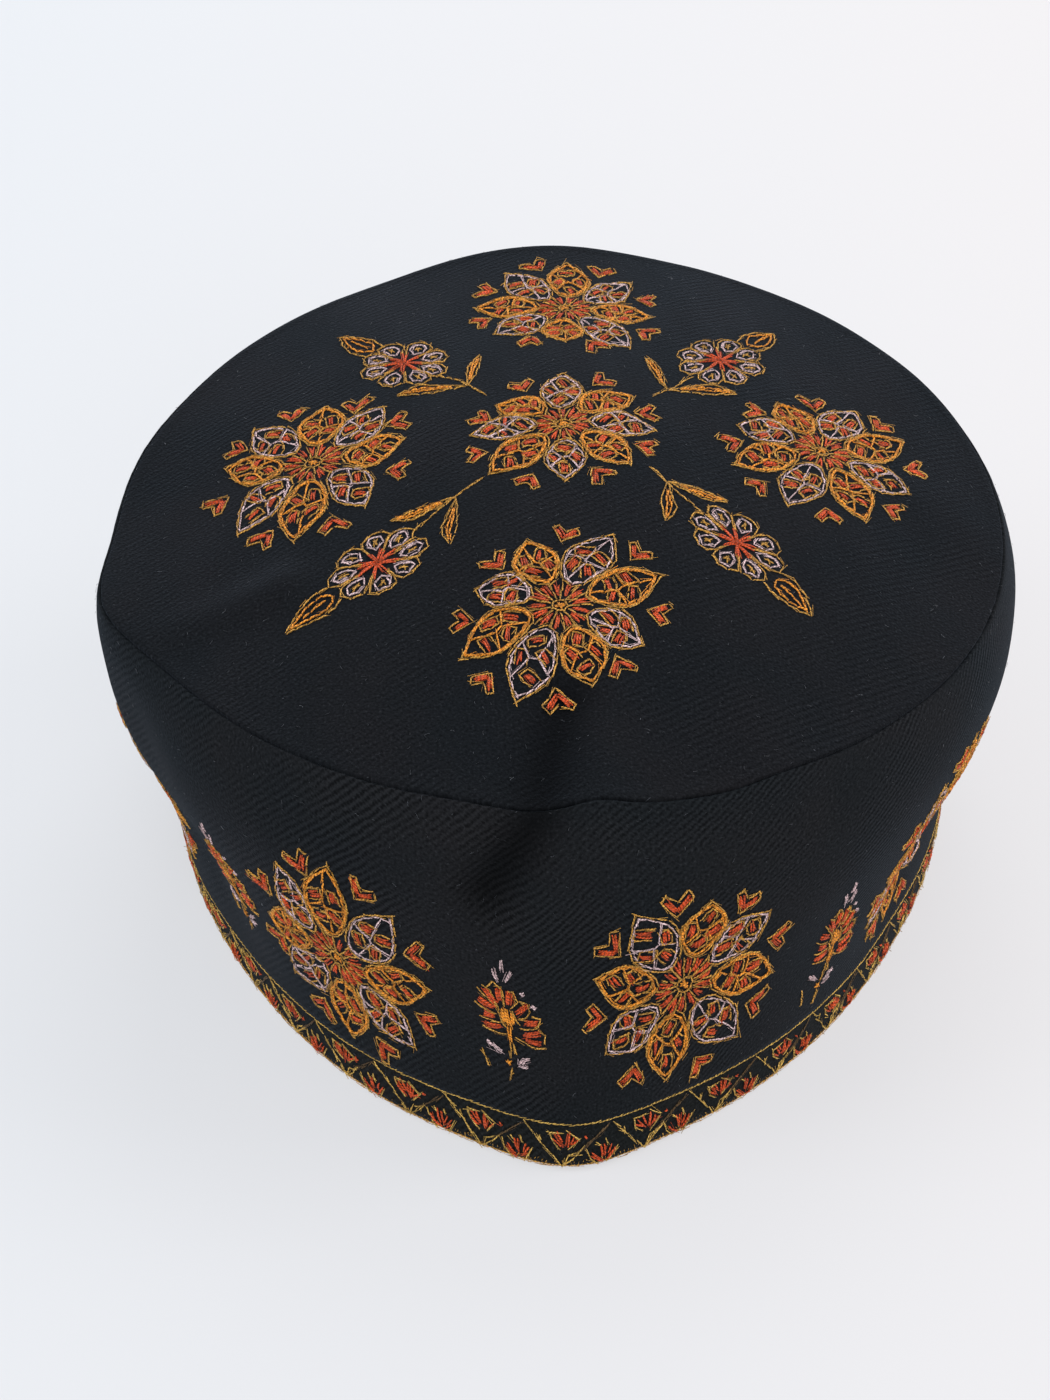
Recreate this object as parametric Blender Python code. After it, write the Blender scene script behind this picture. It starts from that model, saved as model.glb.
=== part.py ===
"""Soft embroidered cap of black wool twill: a domed round crown, an upright side band and a doubled
border strip at the rim. Metres, +Z up, the front of the cap at -Y, the rim flat on z = 0."""
import math

import bmesh
import bpy
from mathutils import Vector

# rim outline: an egg, broader at the back, with the point of a storage crease at the front, which is
# turned and spread by these angles in radians
RIM_HALF_WIDTH = 0.0788
RIM_HALF_LENGTH = 0.0972
RIM_EGG = 0.20
RIM_POINT = 0.0044
POINT_TURN = 0.03
POINT_SPREAD = 0.236

# crown seam: a round outline set back from the rim's middle, rising towards the back, a little lower at
# both sides than a flat ring and leaning to one side, with its share of the storage crease
SEAM_HALF_WIDTH = 0.0867
SEAM_HALF_LENGTH = 0.0855
SEAM_SHIFT = 0.0008
SEAM_SETBACK = 0.0063
SEAM_POINT = 0.0017
SEAM_HEIGHT = 0.0742
SEAM_RISE = 0.0080
SEAM_SADDLE = -0.0028
SEAM_LEAN = -0.0004

# side band: it bulges outward under the seam, more on the -X side and more at both sides than at the
# front and back, the sooner under the seam the higher the power, and is drawn in a little lower down
BAND_BULGE = 0.0052
BULGE_SKEW = -0.26
BULGE_SIDES = 0.31
BULGE_POWER = 2.65
BULGE_PEAK = (BULGE_POWER / (BULGE_POWER + 1)) ** BULGE_POWER / (BULGE_POWER + 1)
BAND_WAIST = 0.0006
WAIST_PEAK = 4.0 / 27.0

# crown dome over the seam, and how it changes towards the back and the sides
DOME_HEIGHT = 0.0142
DOME_BACK = -0.13
DOME_LENGTHWISE = -0.22
DOME_SIDEWISE = -0.57

# cloth
CLOTH = 0.0018
BORDER_CLOTH = 0.0028
BORDER_HEIGHT = 0.0091
PIECE_GAP = 0.0003
# at the seam each panel is pulled back by this much along its own face, which leaves the gap
SEAM_STEP = 0.0002

# where the middle of the cap's bounding box lies from the rim's own middle
MIDDLE_X = -0.0006
MIDDLE_Y = -0.0022

# mesh fineness
AROUND = 96
CROWN_RINGS = (0.14, 0.28, 0.42, 0.55, 0.67, 0.78, 0.87, 0.94, 1.0)
BAND_ROWS = (0.0, 0.14, 0.28, 0.42, 0.55, 0.66, 0.76, 0.85, 0.93, 1.0)
BORDER_ROWS = (0.0, 0.5, 1.0)
# shares of the crown's radius and of the band's height: just short of the seam, and the least one at
# which a face's slope is read, with the step that reads it
NEAR_SEAM = 0.98
LEAST_SHARE = 0.001
SLOPE_STEP = 0.002

# dents of the seam line: angle in degrees, half width in degrees, drop and inset in metres
SEAM_DENTS = (
    {"name": "front dent", "angle": -92.0, "spread": 6.0, "drop": 0.0012, "inset": 0.0010},
    {"name": "back left", "angle": 66.0, "spread": 14.0, "drop": 0.0009, "inset": 0.0002},
    {"name": "back right", "angle": 120.0, "spread": 12.0, "drop": 0.0007, "inset": 0.0002},
    {"name": "back peak", "angle": 94.0, "spread": 12.0, "drop": -0.0010, "inset": 0.0},
)

# folds of the crown, on its plan divided by the seam's size: from, to, half width, depth in metres
CROWN_FOLDS = (
    {"name": "front dent", "start": (-0.03, -0.70), "end": (-0.05, -0.95), "spread": 0.11, "depth": 0.0020},
    {"name": "crease", "start": (-0.96, -0.35), "end": (-0.68, -0.23), "spread": 0.07, "depth": -0.0012},
    {"name": "right ridge", "start": (0.97, -0.12), "end": (0.86, 0.02), "spread": 0.09, "depth": -0.0010},
)

# folds of the band: from and to as angle in degrees and share of the height, half width in metres
BAND_FOLDS = (
    {"name": "front dent", "start": (-90.0, 0.99), "end": (-98.0, 0.82), "spread": 0.0065, "depth": 0.0028},
    {"name": "hollow", "start": (-80.0, 0.92), "end": (-57.0, 0.92), "spread": 0.0070, "depth": 0.0016},
)
# mean radius that turns a band fold's angles into lengths along the cloth
BAND_RADIUS = 0.088

# how soon the seam's dents fade towards the middle of the crown, and folds towards the seam on the band
EDGE_POWER = 6
FADE_POWER = 12


def bump(distance):
    """A smooth hump, 1 in the middle and near 0 two units away."""
    return math.exp(-distance * distance)


def turn_between(angle, other):
    """The signed turn from one angle to another, within half a circle."""
    return math.atan2(math.sin(angle - other), math.cos(angle - other))


def distance_to_stretch(x, y, start, end):
    """How far a point of the plane lies from the straight stretch between two others."""
    along = Vector(end) - Vector(start)
    offset = Vector((x, y)) - Vector(start)
    share = min(1.0, max(0.0, offset.dot(along) / along.length_squared))
    return (offset - along * share).length


def front_point(angle):
    """How strongly the storage crease draws the outline out at this angle."""
    return bump(turn_between(angle, -math.pi / 2 + POINT_TURN) / POINT_SPREAD)


def rim_point(angle):
    """Point of the rim's outer edge."""
    x = RIM_HALF_WIDTH * math.cos(angle) * (1 + RIM_EGG * math.sin(angle))
    y = RIM_HALF_LENGTH * math.sin(angle) - RIM_POINT * front_point(angle)
    return Vector((x, y, 0.0))


def seam_dent(angle):
    """Drop and inset of the seam line at this angle."""
    drop = 0.0
    inset = 0.0
    for dent in SEAM_DENTS:
        strength = bump(turn_between(angle, math.radians(dent["angle"])) / math.radians(dent["spread"]))
        drop += dent["drop"] * strength
        inset += dent["inset"] * strength
    return drop, inset


def seam_level(across, along):
    """Height of the tilted, saddle-shaped sheet that the seam lies on; the seam is the unit circle."""
    saddle = SEAM_SADDLE * (across * across - along * along)
    return SEAM_HEIGHT + SEAM_RISE * along + SEAM_LEAN * across + saddle


def crown_point(angle, radius):
    """Point of the crown's outer face; the seam is at radius 1."""
    across = radius * math.cos(angle)
    along = radius * math.sin(angle)
    drop, inset = seam_dent(angle)
    edge = radius ** EDGE_POWER
    dome = 1 + DOME_BACK * along + DOME_LENGTHWISE * along * along + DOME_SIDEWISE * across * across
    z = seam_level(across, along) + DOME_HEIGHT * (1 - radius * radius) * dome - drop * edge
    for fold in CROWN_FOLDS:
        away = distance_to_stretch(across, along, fold["start"], fold["end"])
        z -= fold["depth"] * bump(away / fold["spread"]) * (1 - edge)
    x = SEAM_SHIFT + SEAM_HALF_WIDTH * across - inset * edge * math.cos(angle)
    y = SEAM_SETBACK + SEAM_HALF_LENGTH * along - inset * edge * math.sin(angle)
    y -= SEAM_POINT * front_point(angle) * edge
    return Vector((x, y, z))


def band_point(angle, share):
    """Point of the band's outer face, from the rim at share 0 to the seam at share 1."""
    seam = crown_point(angle, 1.0)
    place = rim_point(angle).lerp(seam, share)
    swell = 1 + BULGE_SKEW * math.cos(angle) + BULGE_SIDES * math.cos(2 * angle)
    outward = BAND_BULGE * swell * share ** BULGE_POWER * (1 - share) / BULGE_PEAK
    outward -= BAND_WAIST * share * (1 - share) ** 2 / WAIST_PEAK
    for fold in BAND_FOLDS:
        start = (math.radians(fold["start"][0]) * BAND_RADIUS, fold["start"][1] * SEAM_HEIGHT)
        end = (math.radians(fold["end"][0]) * BAND_RADIUS, fold["end"][1] * SEAM_HEIGHT)
        near = turn_between(angle, -math.pi / 2) - math.pi / 2
        away = distance_to_stretch(near * BAND_RADIUS, share * SEAM_HEIGHT, start, end)
        outward -= fold["depth"] * bump(away / fold["spread"]) * (1 - share ** FADE_POWER)
    return place + Vector((math.cos(angle), math.sin(angle), 0.0)) * outward


def face_normal(surface, angle, share):
    """Unit normal of a face given as a function of an angle and a share: outward on the band, and
    downward on the crown."""
    low = max(LEAST_SHARE, share - SLOPE_STEP)
    high = min(1.0, share + SLOPE_STEP)
    along_angle = surface(angle + SLOPE_STEP, share) - surface(angle - SLOPE_STEP, share)
    along_share = surface(angle, high) - surface(angle, low)
    return along_angle.cross(along_share).normalized()


def mitre(angle):
    """Step from the seam's outer corner to its inner corner."""
    band_normal = face_normal(band_point, angle, 1.0)
    crown_normal = -face_normal(crown_point, angle, 1.0)
    return -(band_normal + crown_normal) * CLOTH / (1 + band_normal.dot(crown_normal))


def share_at(angle, height):
    """Share of the band's height at which its outer face is this high."""
    return height / crown_point(angle, 1.0).z


def crown_rings():
    """Outer and inner rings of points of the crown, middle first."""
    outer = []
    inner = []
    for radius in CROWN_RINGS:
        top = []
        under = []
        for step in range(AROUND):
            angle = 2 * math.pi * step / AROUND
            point = crown_point(angle, radius)
            if radius == CROWN_RINGS[-1]:
                inward = (crown_point(angle, NEAR_SEAM) - point).normalized() * SEAM_STEP
                top.append(point + inward)
                under.append(point + inward + mitre(angle))
            else:
                top.append(point)
                under.append(point + face_normal(crown_point, angle, radius) * CLOTH)
        outer.append(top)
        inner.append(under)
    return outer, inner


def band_rings():
    """Outer and inner rings of points of the band, its lower edge first."""
    outer = []
    inner = []
    for row in BAND_ROWS:
        face = []
        back = []
        for step in range(AROUND):
            angle = 2 * math.pi * step / AROUND
            bottom = share_at(angle, BORDER_HEIGHT + PIECE_GAP / 2)
            share = bottom + (1 - bottom) * row
            point = band_point(angle, share)
            if row == BAND_ROWS[-1]:
                down = (band_point(angle, NEAR_SEAM) - point).normalized() * SEAM_STEP
                face.append(point + down)
                back.append(point + down + mitre(angle))
            else:
                normal = face_normal(band_point, angle, share)
                if row == BAND_ROWS[0]:
                    normal.z = 0.0
                    normal.normalize()
                face.append(point)
                back.append(point - normal * CLOTH)
        outer.append(face)
        inner.append(back)
    return outer, inner


def border_rings():
    """Outer and inner rings of points of the border strip, the rim first."""
    outer = []
    inner = []
    for row in BORDER_ROWS:
        face = []
        back = []
        for step in range(AROUND):
            angle = 2 * math.pi * step / AROUND
            height = (BORDER_HEIGHT - PIECE_GAP / 2) * row
            share = share_at(angle, height)
            point = band_point(angle, share)
            normal = face_normal(band_point, angle, max(share, SLOPE_STEP))
            normal.z = 0.0
            normal.normalize()
            face.append(point)
            back.append(point - normal * BORDER_CLOTH)
        outer.append(face)
        inner.append(back)
    return outer, inner


def ring_vertices(mesh, points):
    """Add one ring of vertices, moved to the cap's own origin."""
    middle = Vector((MIDDLE_X, MIDDLE_Y, 0.0))
    return [mesh.verts.new(point - middle) for point in points]


def join_rings(mesh, first, second):
    """Join two rings of equal count with four-sided faces."""
    count = len(first)
    for step in range(count):
        after = (step + 1) % count
        mesh.faces.new((first[step], first[after], second[after], second[step]))


def cap_ring(mesh, ring, point):
    """Close a ring with a fan of triangles round one middle point."""
    middle = mesh.verts.new(point - Vector((MIDDLE_X, MIDDLE_Y, 0.0)))
    count = len(ring)
    for step in range(count):
        mesh.faces.new((ring[step], ring[(step + 1) % count], middle))


def closed_wall(name, outer, inner, material, outer_middle=None, inner_middle=None):
    """One closed cloth wall from outer and inner rings, open in the middle or capped there."""
    mesh = bmesh.new()
    outer_rings = [ring_vertices(mesh, points) for points in outer]
    inner_rings = [ring_vertices(mesh, points) for points in inner]
    for rings in (outer_rings, inner_rings):
        for first, second in zip(rings, rings[1:]):
            join_rings(mesh, first, second)
    join_rings(mesh, outer_rings[-1], inner_rings[-1])
    if outer_middle is None:
        join_rings(mesh, outer_rings[0], inner_rings[0])
    else:
        cap_ring(mesh, outer_rings[0], outer_middle)
        cap_ring(mesh, inner_rings[0], inner_middle)
    bmesh.ops.recalc_face_normals(mesh, faces=mesh.faces)
    data = bpy.data.meshes.new(name)
    mesh.to_mesh(data)
    mesh.free()
    data.materials.append(material)
    data.shade_smooth()
    data.set_sharp_from_angle(angle=math.radians(50.0))
    wall = bpy.data.objects.new(name, data)
    bpy.context.scene.collection.objects.link(wall)
    return wall


def cloth_material(name, colour):
    """Matt wool cloth."""
    material = bpy.data.materials.new(name)
    material.use_nodes = True
    shader = material.node_tree.nodes["Principled BSDF"]
    shader.inputs["Base Color"].default_value = (*colour, 1.0)
    shader.inputs["Roughness"].default_value = 0.95
    shader.inputs["Metallic"].default_value = 0.0
    return material


def main():
    for item in list(bpy.data.objects):
        bpy.data.objects.remove(item)
    crown_cloth = cloth_material("crown_wool", (0.012, 0.014, 0.017))
    band_cloth = cloth_material("band_wool", (0.011, 0.013, 0.016))
    border_cloth = cloth_material("border_wool", (0.020, 0.015, 0.010))
    outer, inner = crown_rings()
    middle = crown_point(0.0, 0.0)
    closed_wall("crown_top", outer, inner, crown_cloth, middle, middle - Vector((0.0, 0.0, CLOTH)))
    closed_wall("side_band", *band_rings(), band_cloth)
    closed_wall("rim_border", *border_rings(), border_cloth)


main()
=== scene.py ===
"""Looks of the embroidered cap: black wool twill panels with silk-thread rosettes, sprays and a border.
Every stitch is a small tube of thread laid on the cloth. Metres, +Z up, the front of the cap at -Y."""

import math

import bpy
import numpy as np
from bpy.props import FloatProperty, FloatVectorProperty, IntProperty, PointerProperty
from mathutils import Matrix, Vector


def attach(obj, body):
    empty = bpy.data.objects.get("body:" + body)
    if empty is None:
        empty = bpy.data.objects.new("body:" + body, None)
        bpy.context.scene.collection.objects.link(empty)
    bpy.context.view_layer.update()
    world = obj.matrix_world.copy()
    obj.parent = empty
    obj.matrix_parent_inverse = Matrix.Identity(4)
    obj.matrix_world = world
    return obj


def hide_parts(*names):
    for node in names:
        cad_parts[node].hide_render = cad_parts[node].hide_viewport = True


bl_info = {
    "name": "Embroidered cap",
    "version": (1, 0, 0),
    "blender": (4, 5, 0),
    "location": "View3D > Sidebar > Cap",
    "description": "Sews the cloth panels and the embroidery of a soft round cap",
    "category": "Object",
}

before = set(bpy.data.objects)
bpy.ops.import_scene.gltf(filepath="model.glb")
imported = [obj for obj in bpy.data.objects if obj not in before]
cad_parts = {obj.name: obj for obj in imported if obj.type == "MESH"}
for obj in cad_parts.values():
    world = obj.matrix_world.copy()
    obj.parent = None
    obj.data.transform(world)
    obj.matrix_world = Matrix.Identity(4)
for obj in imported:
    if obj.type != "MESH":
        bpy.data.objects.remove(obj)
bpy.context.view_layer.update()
MM = 0.001

# rim outline: an egg, broader at the back, with the point of a storage crease at the front
RIM_HALF_WIDTH = 0.0788
RIM_HALF_LENGTH = 0.0972
RIM_EGG = 0.20
RIM_POINT = 0.0044
POINT_TURN = 0.03
POINT_SPREAD = 0.236

# crown seam: a round outline set back from the rim's middle, rising towards the back
SEAM_HALF_WIDTH = 0.0867
SEAM_HALF_LENGTH = 0.0855
SEAM_SHIFT = 0.0008
SEAM_SETBACK = 0.0063
SEAM_POINT = 0.0017
SEAM_HEIGHT = 0.0742
SEAM_RISE = 0.0080
SEAM_SADDLE = -0.0028
SEAM_LEAN = -0.0004

# side band: swell under the seam and the slight waist lower down
BAND_BULGE = 0.0052
BULGE_SKEW = -0.26
BULGE_SIDES = 0.31
BULGE_POWER = 2.65
BULGE_PEAK = (BULGE_POWER / (BULGE_POWER + 1)) ** BULGE_POWER / (BULGE_POWER + 1)
BAND_WAIST = 0.0006
WAIST_PEAK = 4.0 / 27.0

# crown dome over the seam
DOME_HEIGHT = 0.0142
DOME_BACK = -0.13
DOME_LENGTHWISE = -0.22
DOME_SIDEWISE = -0.57

# thickness of the panels and of the doubled border, and the border's height
CLOTH = 0.0018
BORDER_CLOTH = 0.0028
BORDER_HEIGHT = 0.0091

# middle of the cap's box in the fitted shape's own place, how fast dents of the seam fade over the crown and
# folds of the band fade at the seam, and the radius at which folds of the band are measured
MIDDLE = np.array((-0.0006, -0.0022, 0.0))
EDGE_POWER = 6
FADE_POWER = 12
BAND_RADIUS = 0.088

# the sewn seam: how deep it sinks, how wide the sunk line is, and the welt of folded cloth beside it
SEAM_SINK = 0.0007
SEAM_SINK_WIDTH = 0.00022
WELT_RISE = 0.00010
WELT_AWAY = 0.0014
WELT_WIDTH = 0.0010
# puckers along the seam: how many round the cap, and their share of its depth, coarse and fine
PUCKERS = 61
PUCKER_DEPTH = 0.25
FINE_PUCKERS = 143
FINE_PUCKER_DEPTH = 0.15

# how far the rolled rim and the lowest strands stay above the floor
RIM_CLEAR = 0.00034
STRAND_CLEAR = 0.0002

# dents of the seam: angle and spread in degrees, how far it drops and how far it is pushed in, in metres
SEAM_DENTS = (
    ("front dent", -94.0, 5.0, 0.0012, 0.0008),
    ("beside the dent", -86.0, 5.0, -0.0020, 0.0007),
    ("front right", -70.0, 5.0, 0.0007, -0.0003),
    ("back left", 66.0, 14.0, 0.0009, 0.0002),
    ("back right", 120.0, 12.0, 0.0007, 0.0002),
    ("back peak", 94.0, 12.0, -0.0010, 0.0),
    ("left corner", -164.0, 11.0, 0.0, -0.0055),
    ("left side", 172.0, 14.0, 0.0, -0.0012),
)
# folds of the cloth: where one starts and ends, its spread and its depth; on the crown in shares of the
# seam's half width and length, on the band as angle in degrees and share of the height, spread in metres
CROWN_FOLDS = (
    ("front dent", (0.005, -0.75), (-0.045, -0.97), 0.062, 0.0026),
    ("crease", (-0.93, -0.44), (-0.62, -0.35), 0.065, -0.0018),
    ("right ridge", (0.97, -0.12), (0.86, 0.02), 0.09, -0.0010),
)
BAND_FOLDS = (
    ("front dent", (-93.0, 0.985), (-99.5, 0.78), 0.0048, 0.0038),
    ("hollow", (-80.0, 0.92), (-57.0, 0.92), 0.0070, 0.0016),
    ("left wall", (-186.0, 0.80), (-160.0, 0.80), 0.0180, 0.0046),
    ("left foot", (-176.0, 0.42), (-154.0, 0.42), 0.0140, 0.0034),
    ("right foot", (-26.0, 0.36), (-4.0, 0.42), 0.0140, 0.0034),
)

# painted shade: how much darker the wool is coloured in the bottom of the front dent, where shadow falls in
# the fold
CREASE_PAINTED_SHADE = 0.68

# soft waves of the cloth: how many run round the cap, how many up it, where they start, height in metres
RIPPLES = (
    ("long", 5, 2.0, 0.4, 0.00022),
    ("slanted", 11, -5.0, 1.9, 0.00012),
    ("short", 19, 6.5, 4.1, 0.00007),
)

# how the wool's colour shifts between its cooler and its warmer patches
COOLER = (0.94, 1.01, 1.03)
WARMER = (1.08, 1.0, 0.98)

# threads, in the order of their numbers, with their half thickness in metres
THREADS = {"gold": 0.00018, "old_gold": 0.00014, "red": 0.00019, "lavender": 0.00015, "olive": 0.00013,
           "brown": 0.00011, "lint": 0.00003}
GOLD, OLD_GOLD, RED, LAVENDER, OLIVE, BROWN, LINT = range(len(THREADS))
HALVES = np.array(tuple(THREADS.values()))
# turns of a thread's strands in a metre
STRAND_TURNS = 1500.0
# stray strands beside the stitches: half thickness, how far off they lie and how high they stand
STRAY_HALF = 0.00008
STRAY_AWAY = 0.0003
STRAY_LIFT = 0.00035
# how far apart, in mm, the points lie that give the slope of the cloth under a stitch's end
SLOPE_STEP = 0.15

# crown rosettes: middle in mm from the crown's middle, whether the first, third, fifth and seventh petals
# are lavender and not gold, and each petal as direction in degrees and reach in mm
CROWN_ROSETTES = (
    ("middle", (0.3, 8.8), True,
     ((90, 18.1), (36, 17.4), (-4, 18.2), (-45, 18.5),
      (-89, 18.5), (-132, 21.5), (-171, 18.4), (151, 15.4))),
    ("back", (0.9, 55.7), True,
     ((126, 21.3), (89, 21.8), (45, 19.4), (-7, 18.1),
      (-52, 21.5), (-89, 15.6), (-144, 17.9), (172, 19.0))),
    ("front", (-0.6, -42.9), False,
     ((-148, 21.4), (-111, 22.9), (-71, 18.6), (-30, 17.4),
      (24, 20.7), (61, 20.7), (112, 17.2), (163, 16.4))),
    ("left", (-48.9, 6.1), True,
     ((129, 20.4), (85, 19.3), (47, 19.8), (6, 18.2),
      (-57, 20.6), (-96, 24.0), (-127, 22.2), (166, 18.4))),
    ("right", (51.4, 9.8), True,
     ((167, 17.1), (120, 16.0), (65, 19.3), (30, 20.2),
      (-25, 18.8), (-69, 20.7), (-112, 21.5), (-151, 20.6))),
)
FRONT_RIGHT_PETALS = ((166, 18.3), (124, 20.2), (80, 17.1), (32, 18.4),
                      (-16, 21.6), (-49, 23.7), (-92, 20.5), (-143, 18.7))
FRONT_LEFT_PETALS = ((112, 19.7), (79, 23.4), (45, 22.8), (3, 20.7),
                     (-46, 20.5), (-98, 19.9), (-143, 20.0), (175, 16.1))
# band rosettes: angle round the cap in degrees, share of the band's height, and the same as above
BAND_ROSETTES = (
    ("front right", -73.4, 0.487, False, FRONT_RIGHT_PETALS),
    ("front left", -122.6, 0.445, True, FRONT_LEFT_PETALS),
    ("far left", -170.9, 0.450, False, FRONT_RIGHT_PETALS),
    ("far right", -28.3, 0.440, True, FRONT_LEFT_PETALS),
    ("right back", 15.2, 0.450, False, FRONT_RIGHT_PETALS),
    ("back right", 58.7, 0.455, True, FRONT_LEFT_PETALS),
    ("back left", 102.2, 0.450, False, FRONT_RIGHT_PETALS),
    ("left back", 145.6, 0.455, True, FRONT_LEFT_PETALS),
)
# sprigs between the band rosettes: angle and share of the knot, and width and height against the charted one
BAND_SPRIGS = (
    ("front", -97.7, 0.434, 1.0, 1.0),
    ("right", -47.6, 0.383, 0.95, 1.10),
    ("left", -141.4, 0.487, 0.95, 1.0),
    ("right side", -6.5, 0.420, 0.95, 1.0),
    ("right back", 37.0, 0.430, 1.0, 1.0),
    ("back", 80.5, 0.430, 1.0, 1.0),
    ("left back", 124.0, 0.430, 1.0, 1.0),
    ("left side", 167.4, 0.440, 0.95, 1.0),
)
# crown sprays between the rosettes: flower middle, tip of the bud and end of the stem, in mm; the flower's
# size along the spray and across it against a round one; where the stem forks, and the tips of its two
# leaves, in mm from the flower along the stem and to its left, with the leaf's width against a narrow one
CROWN_SPRAYS = (
    ("back left", (-31.9, 36.2), (-46.2, 52.5), (-15.1, 20.6),
     (1.08, 0.92), 17.6, ((11.4, 10.6, 1.0), (7.6, -9.8, 1.5))),
    ("back right", (32.5, 37.1), (44.4, 53.4), (18.1, 20.1),
     (1.08, 0.92), 17.6, ((7.6, 9.8, 1.5), (11.4, -10.6, 1.0))),
    ("front left", (-34.9, -27.9), (-51.8, -41.8), (-15.1, -8.0),
     (1.13, 0.80), 20.4, ((9.4, 6.4, 1.05), (11.2, -8.2, 1.25))),
    ("front right", (33.0, -23.2), (46.4, -38.8), (17.1, -4.8),
     (1.13, 0.80), 19.4, ((11.2, 8.2, 1.25), (9.4, -6.4, 1.05))),
)

# one petal of a rosette, in shares of its reach: outward, and across on one side
PETAL_EDGE = ((0.27, 0.0), (0.33, 0.105), (0.42, 0.168), (0.53, 0.22), (0.63, 0.246), (0.73, 0.228),
              (0.84, 0.152), (0.93, 0.07), (1.0, 0.0))
PETAL_RIDGE = ((0.31, 0.0), (0.35, 0.082), (0.44, 0.142), (0.53, 0.19), (0.63, 0.216), (0.73, 0.197),
               (0.83, 0.13), (0.905, 0.06), (0.955, 0.0))
PETAL_MIDDLE = 0.61
# from what share of its reach a petal leans over to its tip, and how far its outline's thread runs past it
LEAN_FROM = 0.42
TIP_TAIL = 0.02
# how often a petal's veins cross as a plain cross; the others fork twice like a branch
CROSS_SHARE = 0.45
# a bud between two petals, in shares of the rosette's reach: across and outward
BUD_EDGE = ((0.0, -0.13), (-0.16, 0.06), (-0.115, 0.118), (0.0, 0.035), (0.10, 0.122), (0.16, 0.05))
BUD_ARMS = (((0.0, -0.075), (-0.115, 0.065)), ((0.0, -0.065), (0.115, 0.068)))
BUD_REACH = 0.965
# stitch lengths in a rosette, in mm, and how far stitches side by side are set aside, in mm
STITCHES = {"ring": 1.3, "spoke": 2.4, "outline": 2.2, "ridge": 1.9, "outer ridge": 2.3, "vein": 2.8,
            "cell": 1.8, "stroke": 2.6, "bud": 2.9}
CELL_STROKES = (-0.48, 0.0, 0.48)
BUD_STROKES = (-0.36, 0.0, 0.36)
SPRIG_PETAL_STROKES = (-0.42, 0.0, 0.42)
SPRIG_LEAF_STROKES = (-0.16, 0.16)

# one petal of a spray's flower, in mm outward from the middle and across: thread, stitch length and points
SPRAY_PETAL = (
    (OLD_GOLD, 2.3, ((3.0, -1.2), (5.2, -2.2), (7.4, -2.9), (9.0, -1.9), (9.5, 0.0), (9.0, 1.8), (7.4, 2.8),
                     (5.2, 2.1), (3.0, 1.1))),
    (LAVENDER, 2.2, ((4.0, 0.0), (5.1, 1.3), (6.9, 1.8), (8.4, 0.9), (8.4, -0.7), (7.0, -1.8), (5.2, -1.4),
                     (4.0, 0.0))),
    (LAVENDER, 2.2, ((5.6, 0.9), (7.4, 1.3))),
    (OLD_GOLD, 2.0, ((5.5, -0.3), (7.3, 0.3))),
    (OLD_GOLD, 2.0, ((5.8, 0.45), (7.0, -0.5))),
)

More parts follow.
